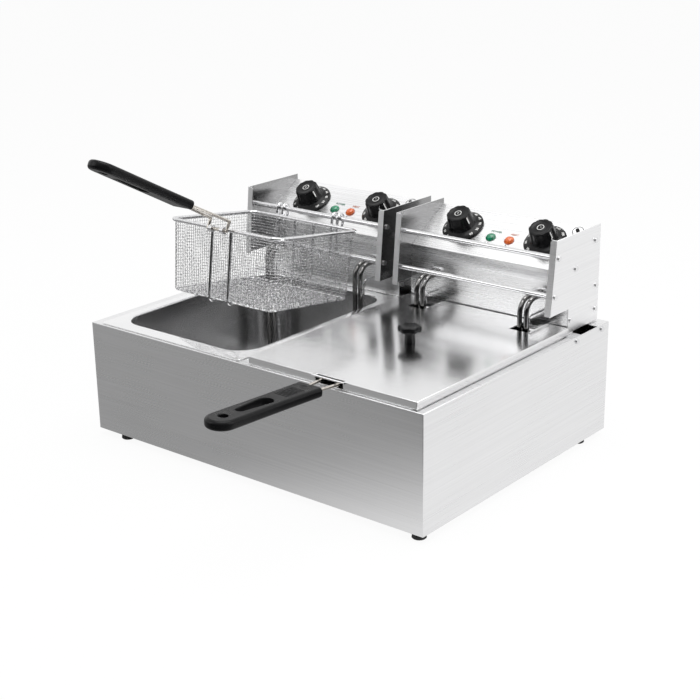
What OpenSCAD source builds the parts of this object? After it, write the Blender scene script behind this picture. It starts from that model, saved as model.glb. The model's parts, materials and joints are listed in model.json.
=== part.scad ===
// Twin-tank countertop deep fryer: one cabinet, two lift-out oil tanks, two lift-off control heads,
// two wire baskets with swing handles and one lid. Millimetres, +X right, +Y to the back, +Z up.

/* [Cabinet] */
// Width of the cabinet
cab_w = 550; // [540:1:640]
// Depth of the cabinet
cab_d = 412; // [408:1:480]
// Height of the cabinet walls
cab_h = 152; // [146:1:190]
// Thickness of every folded sheet
sheet = 1.2; // [0.8:0.1:1.6]
// Depth of the flange along the top of the front wall
front_flange = 12; // [8:1:16]
// Depth of the flange along the top of the rear wall
rear_flange = 28; // [20:1:30]
// Width of the flange along the top of the side walls
side_flange = 16; // [14:1:18]
// Width of the beam between the two tanks
beam_w = 40; // [34:1:42]
// Depth of the rail under the rear tank rims
rail_d = 22; // [16:1:26]
// Drop of the folded edges of beam, rail and base
fold_drop = 14; // [8:1:18]

/* [Feet] */
// Height of a rubber foot
foot_h = 9; // [6:0.5:14]
// Diameter of a rubber foot
foot_dia = 18; // [14:1:26]
// Foot centre from the left wall
foot_left = 42; // [20:1:60]
// Foot centre from the right wall
foot_right = 15; // [14:1:60]
// Foot centre from the front wall
foot_front = 13; // [13:1:60]
// Foot centre from the rear wall
foot_rear = 44; // [20:1:60]

/* [Tanks] */
// Distance between the centres of the two tanks and their heads
unit_pitch = 271; // [270:1:276]
// Width of a tank's flat rim
rim_w = 252; // [248:1:258]
// Gap in front of a tank's rim
rim_front = 4; // [2:0.5:6]
// Length of a tank's flat rim
rim_l = 343; // [340:1:360]
// Width of a tank's opening
well_w = 224; // [216:1:226]
// Length of a tank's opening
well_l = 291; // [280:1:291]
// Rim in front of a tank's opening
well_front = 23; // [18:1:26]
// Depth of a tank under its rim
well_depth = 130; // [120:1:134]
// Corner radius of a tank's walls
well_r = 34; // [20:1:45]
// Radius between a tank's floor and walls
floor_r = 14; // [6:1:20]

/* [Control heads] */
// Width of a head over its side plates
head_w = 250; // [246:1:258]
// Front face of the control box from the cabinet front
box_front = 331; // [328:1:340]
// Depth of the control box
box_d = 75; // [72:1:80]
// Height of the box's front face
box_front_h = 80; // [76:1:90]
// Slope of the control panel
panel_tilt = 30; // [22:1:34]
// Side plate above the panel's rear edge
plate_rise = 7; // [4:1:12]
// Lower edge of the plates' front part above the tank rim
plate_lift = 33; // [28:1:40]
// Front part of a side plate, at its lower edge
plate_reach = 43.5; // [38:0.5:46]
// Backward lean of a side plate's front edge
plate_lean = 10.5; // [6:0.5:14]
// Width of the flange on a side plate's front edge
plate_flange = 9; // [6:0.5:12]

/* [Hanging rods] */
// Diameter of a hanging rod
rod_dia = 7; // [5:0.5:8]
// Height of the lower rod above the tank rim
rod_low = 57.2; // [50:0.1:64]
// Distance between the rods' heights
rod_gap = 48.8; // [44:0.1:56]
// Lower rod behind the front edge of a plate
rod_inset = 7.4; // [6.5:0.1:10]
// Upper rod further back than the lower one
rod_offset = 6.8; // [4:0.1:9]

/* [Heating elements] */
// Diameter of an element tube
tube_dia = 6.5; // [5:0.5:8]
// Centre distance of the two tubes of a pair
tube_pitch = 9.5; // [9:0.5:12]
// Distance from the head's centre to a tube pair
pair_x = 82; // [74:1:86]
// Height of the tube fittings above the tank rim
tube_z = 46.5; // [42:0.5:52]
// Distance of the vertical tubes from the box
tube_out = 39; // [36:1:44]
// Radius of the tube bends
tube_bend = 18; // [12:1:20]
// Tube centre above the tank's floor
tube_above = 7; // [6:0.5:10]
// Space between the front of the tank and the element
tube_front = 36; // [30:1:60]

/* [Knobs and lamps] */
// Diameter of a knob's dial skirt
skirt_dia = 58; // [50:1:60]
// Height of a knob
knob_h = 26; // [22:1:30]
// Diameter of a knob's grip
knob_dia = 37; // [30:1:40]
// Diameter of a knob's spindle
spindle_dia = 6; // [5:0.5:8]
// Timer knob left of the head's centre
timer_x = 67; // [62:1:72]
// Thermostat knob right of the head's centre
thermo_x = 63; // [60:1:68]
// Knob centres up the panel
knob_up = 47; // [40:1:50]
// Lamp centres up the panel
lamp_up = 37.5; // [34:0.5:42]
// Diameter of a lamp
lamp_dia = 12; // [10:0.5:14]
// Distance between the lamps
lamp_pitch = 29; // [26:1:32]
// Reset collar right of the head's centre
reset_x = 98; // [96:1:102]
// Reset collar up the panel
reset_up = 74; // [70:1:76]
// Diameter of the reset collar
reset_dia = 16; // [13:0.5:17]
// Travel of the reset button
reset_travel = 2; // [1.5:0.1:3]

/* [Baskets] */
// Width of a basket over its rim wires
basket_w = 201; // [190:1:206]
// Length of a basket between its rim wires
basket_l = 168; // [160:1:185]
// Height of a basket under its rim wire
basket_h = 100; // [85:1:100]
// Width lost from rim to floor
basket_taper = 12; // [6:1:24]
// Diameter of the rim wire
rim_wire = 5; // [4:0.5:6]
// Diameter of the frame wires
frame_wire = 4; // [3:0.5:4.5]
// Thickness of the woven mesh walls
mesh_t = 1.6; // [1.2:0.1:2.4]
// Distance between the two hanging hooks
hook_pitch = 102; // [80:1:120]
// Width of a hanging hook
hook_w = 10; // [8:1:14]
// Rod centre above the rim wire when the basket hangs
hook_rise = 11; // [10:0.5:14]
// Hanging basket to the left of its tank's centre
hang_shift = 13; // [0:0.5:16]
// Space between the lowered basket's hooks and the lid
hook_clear = 1; // [0.5:0.5:3]
// Front rim wire of the lowered basket from the cabinet front
basket_y = 52; // [46:1:58]

/* [Handles] */
// Diameter of a handle wire
handle_wire_dia = 4.2; // [3.6:0.1:4.6]
// Distance between the two handle wires at the basket
handle_w = 34; // [28:1:40]
// Length of bare wire
wire_len = 72; // [66:1:80]
// Length of the grip
grip_len = 166; // [158:1:185]
// Width of the grip
grip_w = 38; // [34:1:44]
// Thickness of the grip
grip_t = 12; // [10:0.5:14]
// Raised handle above the hanging basket's rim
handle_up = 20; // [16:0.5:24]
// Lowered handle above the level
handle_down = 3; // [2.5:0.1:4.5]

/* [Lid] */
// Width of the lid
lid_w = 256; // [252:1:260]
// Gap between the lid's rear edge and the box
lid_rear = 3; // [2.5:0.5:8]
// Height of the lid's skirt
skirt_h = 9; // [8.5:0.1:12]
// Width of the slot for the basket handle
slot_w = 42; // [40:1:50]
// Depth of the slot for the basket handle
slot_l = 5; // [3:0.5:10]
// Width of the slots for the element tubes
tube_slot = 27; // [24:1:34]
// Depth of the slots for the element tubes
tube_slot_l = 46; // [45:1:52]
// Diameter of the lid's knob
lid_knob_dia = 30; // [24:1:36]
// Height of the lid's knob
lid_knob_h = 23; // [20:1:30]

/* [Clearances] */
// Radial clearance of a turning fit
run_fit = 0.05; // [0.02:0.01:0.1]
// Space between pieces that lift apart
lift_gap = 0.3; // [0.2:0.05:0.6]

/* [Hidden] */
$fn = 48;
left = -1;
right = 1;
steel = "lightgray";
dark_steel = "gray";
black = [0.06, 0.06, 0.06];

// Heights from the floor
cab_top = foot_h + cab_h;
rim_top = cab_top + sheet;
well_floor = rim_top - well_depth;
box_floor = rim_top + lift_gap;
panel_z = rim_top + box_front_h;
box_rear = box_front + box_d;
panel_len = (box_d - sheet) / cos(panel_tilt);
panel_top = panel_z + box_d * tan(panel_tilt);
head_top = panel_top + plate_rise;
plate_z = rim_top + plate_lift;
plate_y = box_front - plate_reach;
lean_deg = atan(plate_lean / (head_top - plate_z));
lid_z = rim_top + lift_gap;
lid_top = lid_z + skirt_h;
lid_l = box_front - lid_rear - rim_front;

// Rods and the way a basket hangs on them
weld = 0.2;
rod_r = rod_dia / 2;
low_rod = [plate_y + rod_inset + plate_lean * (rod_low - plate_lift) / (head_top - plate_z), rim_top + rod_low];
high_rod = low_rod + [rod_offset, rod_gap];
hang_tilt = atan(rod_offset / rod_gap);
hook_r = rod_r + lift_gap + frame_wire / 2;
hook_reach = (rim_wire + frame_wire) / 2 - weld;
hook_y = hook_reach + hook_r;
hang_y = high_rod[0] - hook_y * cos(hang_tilt) - hook_rise * sin(hang_tilt);
hang_z = high_rod[1] + hook_y * sin(hang_tilt) - hook_rise * cos(hang_tilt);

// Handle hinge bar, in front of a basket's front rim wire
bar_reach = 9;
eye_dia = 9.4;
eye_w = 6;
bar_clear = 1.5;
rim_pass = 0.6;
basket_sink = hook_rise + hook_r + frame_wire / 2 + hook_clear - (lid_top - sheet - rim_top);
sunk_z = rim_top - basket_sink;
bar_y = basket_y - bar_reach;
handle_rise = (basket_sink + rim_pass) * cos(handle_down) + handle_wire_dia / 2
    - (bar_y - rim_front - well_front) * sin(handle_down);
grip_tip = wire_len + grip_len;

// Stretch from the front of the lowered handle to the cable glands
gland_reach = 15;
front_y = bar_y - grip_tip * cos(handle_down) + (handle_rise - grip_t / 2) * sin(handle_down);
back_y = max(cab_d, box_rear + gland_reach);
mid_y = (front_y + back_y) / 2;

function unit_x(side) = side * unit_pitch / 2;

// ---- placing ----

module in_place() {
    translate([0, -mid_y, 0]) children();
}

// A profile drawn in Y and Z, carried along X about its middle
module along_x(w) {
    translate([-w / 2, 0, 0]) rotate([90, 0, 90]) linear_extrude(w) children();
}

// The head's own frame: X from its middle, Y and Z as the cabinet's
module at_head(side) {
    in_place() translate([unit_x(side), 0, 0]) children();
}

// A point up the sloped panel, with Z along its normal
module on_panel(x, up) {
    translate([x, box_front, panel_z]) rotate([panel_tilt, 0, 0]) translate([0, up, 0]) children();
}

module basket_place(side) {
    if (side == left)
        in_place() translate([unit_x(left) - hang_shift, hang_y, hang_z]) rotate([-hang_tilt, 0, 0]) children();
    else
        in_place() translate([unit_x(right), basket_y + basket_l, sunk_z]) children();
}

module handle_place(side) {
    pitch = side == left ? handle_up : handle_down;
    basket_place(side) translate([0, -basket_l - bar_reach, 0]) rotate([-pitch, 0, 0]) children();
}

// ---- simple shapes ----

module block(x0, x1, y0, y1, z0, z1) {
    translate([x0, y0, z0]) cube([x1 - x0, y1 - y0, z1 - z0]);
}

module round_rect(w, l, r) {
    for (sx = [-1, 1]) translate([sx * (w / 2 - r), 0]) square([2 * r, l - 2 * r], center = true);
    square([w - 2 * r, l], center = true);
    for (sx = [-1, 1], sy = [-1, 1]) translate([sx * (w / 2 - r), sy * (l / 2 - r)]) circle(r);
}

// Straight wire between two points
module wire(a, b, d) {
    v = b - a;
    translate(a) rotate([0, acos(v[2] / norm(v)), atan2(v[1], v[0])]) cylinder(h = norm(v), d = d);
}

// Quarter bend in the XY plane about the origin, from +X to +Y
module quarter(r, d) {
    rotate_extrude(angle = 90) translate([r, 0]) circle(d = d);
}

// Closed wire in the XY plane: a rectangle with round corners
module wire_loop(w, l, r, d) {
    for (s = [-1, 1]) {
        wire([-w / 2 + r, s * l / 2, 0], [w / 2 - r, s * l / 2, 0], d);
        wire([s * w / 2, -l / 2 + r, 0], [s * w / 2, l / 2 - r, 0], d);
    }
    for (a = [0 : 90 : 270]) {
        cx = (a == 0 || a == 270) ? w / 2 - r : -w / 2 + r;
        cy = a < 180 ? l / 2 - r : -l / 2 + r;
        translate([cx, cy, 0]) rotate([0, 0, a]) quarter(r, d);
    }
}

// ---- cabinet ----

module cabinet_shell() color(steel) in_place() difference() {
    block(-cab_w / 2, cab_w / 2, 0, cab_d, foot_h, cab_top);
    block(-cab_w / 2 + sheet, cab_w / 2 - sheet, sheet, cab_d - sheet, foot_h - 1, cab_top - sheet);
    block(-cab_w / 2 + side_flange, cab_w / 2 - side_flange, front_flange, rail_y, cab_top - 2 * sheet, cab_top + 1);
    block(-cab_w / 2 + sheet, cab_w / 2 - sheet, rail_y - lift_gap, cab_d - rear_flange, cab_top - 2 * sheet, cab_top + 1);
    for (s = [-1, 1], y = [rail_y + rail_d / 2, rear_screw_y]) translate([s * cab_w / 2, y, screw_z])
        rotate([0, 90, 0]) cylinder(h = 4 * sheet, d = side_screw + 2 * run_fit, center = true);
}

module cabinet_base() color(dark_steel) in_place() difference() {
    inner = cab_w / 2 - sheet;
    block(-inner, inner, sheet, cab_d - sheet, foot_h, foot_h + fold_drop);
    block(-inner + sheet, inner - sheet, 2 * sheet, cab_d - 2 * sheet, foot_h + sheet, foot_h + fold_drop + 1);
    base_vents();
    for (p = foot_spots()) translate([p[0], p[1], foot_h - 1]) cylinder(h = sheet + 2, d = foot_screw + 2 * lift_gap);
}

vent_w = 6;
vent_l = 60;
vent_pitch = 18;
foot_screw = 4;

module base_vents() {
    for (side = [left, right], i = [-4 : 4])
        translate([unit_x(side) + i * vent_pitch, cab_d / 2, foot_h - 1]) linear_extrude(sheet + 2)
            round_rect(vent_w, vent_l, vent_w / 2 - 0.01);
}

function foot_spots() = [
    for (x = [-cab_w / 2 + foot_left, cab_w / 2 - foot_right], y = [foot_front, cab_d - foot_rear]) [x, y]];

rail_y = rim_front + well_front + well_l + 2 * sheet;

// Channel from wall to wall under the rear tank rims
module cross_rail() color(dark_steel) in_place() {
    inner = cab_w / 2 - sheet;
    difference() {
        block(-inner, inner, rail_y, rail_y + rail_d, cab_top - fold_drop, cab_top);
        block(-inner + sheet, inner - sheet, rail_y + sheet, rail_y + rail_d - sheet, cab_top - fold_drop - 1,
            cab_top - sheet);
        for (s = [-1, 1]) translate([s * inner, rail_y + rail_d / 2, screw_z]) rotate([0, 90, 0])
            cylinder(h = 4 * sheet, d = side_screw + 2 * lift_gap, center = true);
    }
}

// Channel between the tanks, from the front wall to the cross rail
module centre_beam() color(dark_steel) in_place() difference() {
    block(-beam_w / 2, beam_w / 2, front_flange, rail_y, cab_top - fold_drop, cab_top);
    block(-beam_w / 2 + sheet, beam_w / 2 - sheet, front_flange - 1, rail_y + 1, cab_top - fold_drop - 1,
        cab_top - sheet);
}

side_screw = 4;
screw_head = 7;
screw_z = cab_top - 6;
rear_screw_y = cab_d - rear_flange + 10;
screw_length = 10;

// Pan head on the outside of a wall, shank inwards along +X
module wall_screw(d, head, length) {
    translate([-head / 4, 0, 0]) rotate([0, 90, 0]) cylinder(h = head / 4, d = head);
    translate([-head / 8, 0, 0]) rotate([0, 90, 0]) cylinder(h = length, d = d);
}

module cabinet_screws() color(steel) in_place() {
    for (s = [-1, 1], y = [rail_y + rail_d / 2, rear_screw_y])
        translate([s * cab_w / 2, y, screw_z]) mirror([s > 0 ? 1 : 0, 0, 0]) wall_screw(side_screw, screw_head, screw_length);
    for (p = foot_spots()) translate([p[0], p[1], foot_h / 2 - 1.5]) {
        cylinder(h = 1.5, d = screw_head);
        cylinder(h = foot_h / 2 + 1.5 + sheet + 3, d = foot_screw);
    }
}

module feet() color(black) in_place() for (p = foot_spots()) translate([p[0], p[1], 0]) {
    difference() {
        rotate_extrude() polygon([[0, 0], [foot_dia / 2 - 1, 0], [foot_dia / 2, 1], [foot_dia / 2 - 1, foot_h], [0, foot_h]]);
        translate([0, 0, -1]) cylinder(h = foot_h / 2 + 1, d = screw_head + 2);
        cylinder(h = foot_h + 1, d = foot_screw + 2 * run_fit);
    }
}

// ---- tanks ----

// Half of a rounded wall section: vertical side at x = r, round at the foot
module foot_profile(r, h, fr) {
    translate([0, fr]) square([r, h - fr]);
    square([r - fr, fr]);
    intersection() {
        translate([r - fr, fr]) circle(fr);
        translate([r - fr, 0]) square(fr);
    }
}

// Solid tray with round vertical corners and a round foot, standing on z = 0
module tray(w, l, h, r, fr) {
    for (a = [0 : 90 : 270]) {
        cx = (a == 0 || a == 270) ? w / 2 - r : -w / 2 + r;
        cy = a < 180 ? l / 2 - r : -l / 2 + r;
        translate([cx, cy, 0]) rotate([0, 0, a]) rotate_extrude(angle = 90) foot_profile(r, h, fr);
    }
    for (s = [-1, 1]) {
        translate([s * (w / 2 - r), s * (l / 2 - r), 0]) rotate([90, 0, s < 0 ? 180 : 0])
            linear_extrude(l - 2 * r) foot_profile(r, h, fr);
        translate([-s * (w / 2 - r), s * (l / 2 - r), 0]) rotate([90, 0, s < 0 ? -90 : 90])
            linear_extrude(w - 2 * r) foot_profile(r, h, fr);
    }
    block(-w / 2 + r, w / 2 - r, -l / 2 + r, l / 2 - r, 0, h);
}

module tank(side) color(steel) in_place() translate([unit_x(side), 0, 0]) {
    well_y = rim_front + well_front + well_l / 2;
    difference() {
        union() {
            translate([0, rim_front + rim_l / 2, cab_top]) linear_extrude(sheet) round_rect(rim_w, rim_l, rim_corner);
            translate([0, well_y, well_floor - sheet])
                tray(well_w + 2 * sheet, well_l + 2 * sheet, well_depth, well_r + sheet, floor_r + sheet);
        }
        translate([0, well_y, well_floor]) tray(well_w, well_l, well_depth + 1, well_r, floor_r);
    }
}

rim_corner = 5;

// ---- control heads ----

plate_hole = 4;
head_screw_head = 7;
screw_in = 9;
lip = 10;
panel_screw = 15;
wall_screw_z = 16;
flange_top = 4;

// Side plate of a head, drawn in Y and Z
module plate_outline() {
    polygon([[plate_y, plate_z], [plate_y + plate_lean, head_top], [box_rear, head_top],
        [box_rear, box_floor], [box_front, box_floor], [box_front, plate_z]]);
}

// Flange along the plate's leaning front edge
module flange_outline() {
    t = sheet / cos(lean_deg);
    polygon([[plate_y, plate_z], [plate_y + plate_lean, head_top],
        [plate_y + plate_lean + t, head_top], [plate_y + t, plate_z]]);
}

// Screws that hold rods and box between the plates: Y, Z and how far they reach in
function head_screw_spots() = [
    low_rod, high_rod, lip_spot(panel_screw), lip_spot(panel_len - panel_screw),
    [box_front + lip / 2 + sheet, plate_z - wall_screw_z],
    [box_rear - lip / 2 - sheet, plate_z + wall_screw_z], [box_rear - lip / 2 - sheet, plate_z - wall_screw_z]];

// Point on the box's folded lip, under the panel
function lip_spot(up) = [box_front + up * cos(panel_tilt) + lip / 2 * sin(panel_tilt),
    panel_z + up * sin(panel_tilt) - lip / 2 * cos(panel_tilt)];

module side_plates(side) color(steel) at_head(side) for (s = [-1, 1]) mirror([s > 0 ? 1 : 0, 0, 0]) {
    difference() {
        union() {
            translate([-head_w / 2 + sheet / 2, 0, 0]) along_x(sheet) plate_outline();
            translate([-head_w / 2 + plate_flange / 2, 0, 0]) along_x(plate_flange) flange_outline();
        }
        for (p = head_screw_spots()) translate([-head_w / 2 - 1, p[0], p[1]]) rotate([0, 90, 0])
            cylinder(h = sheet + 2, d = plate_hole + 2 * run_fit);
        translate([-head_w / 2 + plate_flange, plate_y + plate_lean - 1, head_top]) rotate([0, 45, 0])
            cube([flange_top, 2 * sheet + 2, flange_top], center = true);
    }
}

module head_screws(side) color(steel) at_head(side) for (s = [-1, 1], p = head_screw_spots())
    translate([s * head_w / 2, p[0], p[1]]) mirror([s > 0 ? 1 : 0, 0, 0]) {
        translate([-head_screw_head / 4, 0, 0]) rotate([0, 90, 0]) cylinder(h = head_screw_head / 4, d = head_screw_head);
        rotate([0, 90, 0]) cylinder(h = screw_in, d = plate_hole);
    }

module hanging_rods(side) color(steel) at_head(side) for (p = [low_rod, high_rod]) difference() {
    rod_l = head_w - 2 * sheet;
    translate([-rod_l / 2, p[0], p[1]]) rotate([0, 90, 0]) cylinder(h = rod_l, d = rod_dia);
    for (s = [-1, 1]) translate([s * rod_l / 2, p[0], p[1]]) rotate([0, 90, 0])
        cylinder(h = 2 * screw_in, d = plate_hole + 2 * run_fit, center = true);
}

// Box section in Y and Z, drawn in by t from front and panel, cut off r before the rear
module box_section(t, r) {
    drop = t / cos(panel_tilt);
    polygon([[box_front + t, box_floor], [box_front + t, panel_z + t * tan(panel_tilt) - drop],
        [box_rear - r, panel_z + (box_d - r) * tan(panel_tilt) - drop], [box_rear - r, box_floor]]);
}

module control_box(side) color(steel) at_head(side) difference() {
    inner = head_w - 2 * sheet;
    union() {
        along_x(inner) difference() {
            box_section(0, sheet);
            box_section(sheet, -1);
        }
        for (s = [-1, 1]) translate([s * (inner - sheet) / 2, 0, 0]) along_x(sheet) difference() {
            box_section(sheet / 2, sheet);
            box_section(lip, -1);
        }
    }
    block(-head_w, head_w, box_front - 1, box_front + 2 * lip, box_floor - 1, box_floor + sheet + 0.01);
    for (s = [-1, 1]) {
        for (p = head_screw_spots()) translate([s * inner / 2, p[0], p[1]]) rotate([0, 90, 0])
            cylinder(h = 3 * sheet, d = plate_hole + 2 * run_fit, center = true);
        for (t = [-1, 1]) front_hole(s * pair_x + t * tube_pitch / 2, tube_z, tube_dia);
        front_hole(s * pair_x, capillary_z, capillary_dia);
    }
    on_panel(-timer_x, knob_up) panel_hole(spindle_dia);
    on_panel(thermo_x, knob_up) panel_hole(spindle_dia);
    for (s = [-1, 1]) on_panel(s * lamp_pitch / 2 - lamp_left, lamp_up) panel_hole(lamp_body);
    on_panel(reset_x, reset_up) panel_hole(collar_body);
}

capillary_z = 22;
capillary_dia = 2.4;
lamp_left = 2;
lamp_body = 8;
collar_body = 9;

module front_hole(x, z, d) {
    translate([x, box_front - 1, rim_top + z]) rotate([-90, 0, 0]) cylinder(h = sheet + 2, d = d + 2 * lift_gap);
}

module panel_hole(d) {
    translate([0, 0, -2 * sheet]) cylinder(h = 4 * sheet, d = d + 2 * run_fit);
}

// Rear wall and floor pan of a head, with two brackets that drop behind the cross rail
module rear_cover(side) color(steel) {
    rear_wall(side);
    floor_pan(side);
    at_head(side) for (s = [-1, 1]) translate([s * tongue_x, tongue_y, box_floor - seam]) tongue_bracket();
}

// Bracket under the head's floor: a foot, and a tongue down behind the rail
module tongue_bracket() {
    block(-tongue_w / 2, tongue_w / 2, 0, tongue_foot, -sheet, 0);
    block(-tongue_w / 2, tongue_w / 2, 0, sheet, cab_top - tongue_drop - box_floor, 0);
}

module rear_wall(side) at_head(side) difference() {
    inner = head_w - 2 * sheet;
    union() {
        block(-inner / 2, inner / 2, box_rear - sheet, box_rear, box_floor, panel_top - sheet);
        for (s = [-1, 1]) translate([s * (inner / 2 - sheet / 2) - sheet / 2, 0, 0])
            block(0, sheet, box_rear - lip - sheet, box_rear - sheet / 2, box_floor + sheet + seam, panel_z - lip);
    }
    translate([gland_x, box_rear - 2, gland_z]) rotate([-90, 0, 0]) cylinder(h = 4, d = gland_thread + 2 * run_fit);
    for (s = [-1, 1], p = head_screw_spots()) translate([s * inner / 2, p[0], p[1]]) rotate([0, 90, 0])
        cylinder(h = 3 * sheet, d = plate_hole + 2 * run_fit, center = true);
}

module floor_pan(side) at_head(side) difference() {
    inner = head_w - 2 * sheet;
    block(-inner / 2, inner / 2, box_front, box_rear - sheet - seam, box_floor, box_floor + sheet);
    translate([0, switch_y, box_floor - 1]) cylinder(h = sheet + 2, d = plunger + 2 * lift_gap);
}

tongue_x = 60;
tongue_w = 30;
tongue_y = max(rail_y + rail_d, rim_front + rim_l) + lift_gap;
tongue_drop = 12;
tongue_foot = 12;
seam = 0.1;
gland_x = -74;
gland_z = rim_top + 40;
gland_thread = 16;
gland_nut = 22;
nut_h = 5;
terminal_w = 68;
terminal_d = 22;
terminal_h = 18;
terminal_pitch = 12;
terminal_hole = 7;
terminal_in = 18;
switch_w = 28;
switch_d = 10;
switch_h = 16;
switch_y = box_front + sheet + switch_d / 2 + 2;
plunger = 3;

// Rod through points in the XY plane with square corners rounded to radius r
module bent_rod(p, r, d) {
    last = len(p) - 1;
    for (i = [0 : last - 1]) {
        u = (p[i + 1] - p[i]) / norm(p[i + 1] - p[i]);
        a = p[i] + (i == 0 ? 0 : r) * u;
        b = p[i + 1] - (i == last - 1 ? 0 : r) * u;
        wire([a[0], a[1], 0], [b[0], b[1], 0], d);
        if (i < last - 1) {
            v = (p[i + 2] - p[i + 1]) / norm(p[i + 2] - p[i + 1]);
            c = p[i + 1] - r * u + r * v;
            turn_left = u[0] * v[1] - u[1] * v[0] > 0;
            start = turn_left ? atan2(-v[1], -v[0]) : atan2(u[1], u[0]);
            translate([c[0], c[1], 0]) rotate([0, 0, start]) quarter(r, d);
        }
    }
}

// Heating tubes of one head: two risers a side, an outer loop and an inner double loop on the tank's floor
tube_y = box_front - tube_out;
tube_top = rim_top + tube_z;
tube_low = well_floor + tube_above;
loop_gap = 6;
loop_y = tube_y - tube_bend - loop_gap;
loop_front = rim_front + well_front + tube_front;
loop_bend = 12;
loop_step = 22;
tube_in = 14;

module element(side) color(dark_steel) at_head(side) {
    xo = pair_x + tube_pitch / 2;
    xi = pair_x - tube_pitch / 2;
    for (s = [-1, 1], x = [xo, xi]) translate([s * x, 0, 0]) rotate([90, 0, 90])
        bent_rod([[box_front + tube_in, tube_top], [tube_y, tube_top], [tube_y, tube_low], [loop_y, tube_low]],
            tube_bend, tube_dia);
    translate([0, 0, tube_low]) {
        bent_rod([[-xo, loop_y], [-xo, loop_front], [xo, loop_front], [xo, loop_y]], tube_bend, tube_dia);
        xm = xi - 2 * loop_bend - 4;
        ya = loop_front + loop_step;
        yb = loop_y - loop_step;
        bent_rod([[-xi, loop_y], [-xi, ya], [-xm, ya], [-xm, yb], [xm, yb], [xm, ya], [xi, ya], [xi, loop_y]],
            loop_bend, tube_dia);
    }
}

// Oval flanges that seal the tube pairs in the box front
module element_flanges(side) color(steel) at_head(side) for (s = [-1, 1])
    translate([s * pair_x, box_front, tube_top]) rotate([90, 0, 0]) linear_extrude(flange_t) difference() {
        round_rect(tube_pitch + tube_dia + 9, tube_dia + 8, (tube_dia + 8) / 2 - 0.01);
        for (t = [-1, 1]) translate([t * tube_pitch / 2, 0]) circle(d = tube_dia + 2 * run_fit);
    }

flange_t = 3;

// Sensing bulb and capillary from the box front down into the oil, behind the tubes
bulb_dia = 6;
bulb_l = 60;
capillary_y = tube_y + 14;
capillary_bend = 6;

module sensor(x) {
    translate([x, 0, 0]) {
        rotate([90, 0, 90]) bent_rod([[box_front + tube_in, rim_top + capillary_z], [capillary_y, rim_top + capillary_z],
            [capillary_y, tube_low + bulb_l]], capillary_bend, capillary_dia);
        translate([0, capillary_y, tube_low]) cylinder(h = bulb_l, d = bulb_dia);
    }
}

body_w = 34;
body_t = 24;
under = sheet + run_fit;

// Switch body under the panel with its spindle up through it
module panel_body(x) {
    on_panel(x, knob_up) {
        translate([0, 0, -under - body_t / 2]) cube([body_w, body_w, body_t], center = true);
        translate([0, 0, -under - 1]) cylinder(h = under + 1 + spindle_out, d = spindle_dia);
    }
}

spindle_out = 16;

module thermostat(side) color(steel) at_head(side) panel_body(thermo_x);

// Sensors of thermostat and limiter, one behind each tube pair
module oil_sensors(side) color(steel) at_head(side) {
    sensor(pair_x);
    sensor(-pair_x);
}

module timer(side) color(black) at_head(side) panel_body(-timer_x);

limiter_w = 30;
limiter_d = 22;
limiter_h = 34;
limiter_drop = 22;
limiter_side = 10.8;

// Overheat limiter on the rear wall, under the reset button
module limiter(side) color(black) at_head(side)
    translate([head_w / 2 - sheet - limiter_side - limiter_w / 2, box_rear - sheet - limiter_d / 2,
        panel_top - limiter_drop - limiter_h / 2]) cube([limiter_w, limiter_d, limiter_h], center = true);

module lamp(side, s, tint) color(tint) at_head(side) on_panel(s * lamp_pitch / 2 - lamp_left, lamp_up) {
    rotate_extrude() polygon([[0, 0], [lamp_dia / 2 + 1, 0], [lamp_dia / 2 + 1, 1], [lamp_dia / 2, 2],
        [lamp_dia / 2 - 1, 3.4], [lamp_dia / 4, 4.4], [0, 4.8]]);
    translate([0, 0, -12]) cylinder(h = 12.5, d = lamp_body);
}

module reset_collar(side) color(dark_steel) at_head(side) on_panel(reset_x, reset_up) difference() {
    union() {
        cylinder(h = 2, d = reset_dia);
        translate([0, 0, -6]) cylinder(h = 7, d = collar_body);
    }
    translate([0, 0, -7]) cylinder(h = 10, d = button_dia + 2 * run_fit);
}

button_dia = 5;

module reset_button(side) color(black) at_head(side) on_panel(reset_x, reset_up)
    translate([0, 0, -5]) cylinder(h = 7 + reset_travel + 0.5, d = button_dia);

module terminal_block(side) color("white") at_head(side) translate([0, box_front + terminal_in, box_floor + sheet])
    difference() {
        block(-terminal_w / 2, terminal_w / 2, 0, terminal_d, 0, terminal_h);
        for (i = [-2 : 2]) translate([terminal_pitch * i, terminal_d / 2, terminal_h / 3])
            cylinder(h = terminal_h, d = terminal_hole);
    }

// Safety switch that feels the tank's rim through a hole in the head's floor
module seat_switch(side) color(black) at_head(side) translate([0, switch_y, box_floor]) {
    block(-switch_w / 2, switch_w / 2, -switch_d / 2, switch_d / 2, sheet, sheet + switch_h);
    cylinder(h = sheet + switch_h / 2, d = plunger);
}

module cable_gland(side) color(black) at_head(side) translate([gland_x, box_rear, gland_z]) rotate([-90, 0, 0])
    difference() {
        union() {
            translate([0, 0, -8]) cylinder(h = 8 + nut_h, d = gland_thread);
            cylinder(h = nut_h, d = gland_nut, $fn = 6);
            translate([0, 0, nut_h - 1]) cylinder(h = gland_reach - nut_h + 1, d = gland_thread + 2);
            translate([0, 0, -sheet - nut_h]) cylinder(h = nut_h, d = gland_nut, $fn = 6);
        }
        translate([0, 0, -9]) cylinder(h = gland_reach + 10, d = gland_bore);
    }

gland_bore = 9;

// ---- knobs ----

skirt_gap = 0.8;
rim_t = 1.6;
cone_rise = 3;
grip_taper = 2;
lobes = 10;
lobe_cut = 14;
lobe_depth = 1.3;

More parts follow.
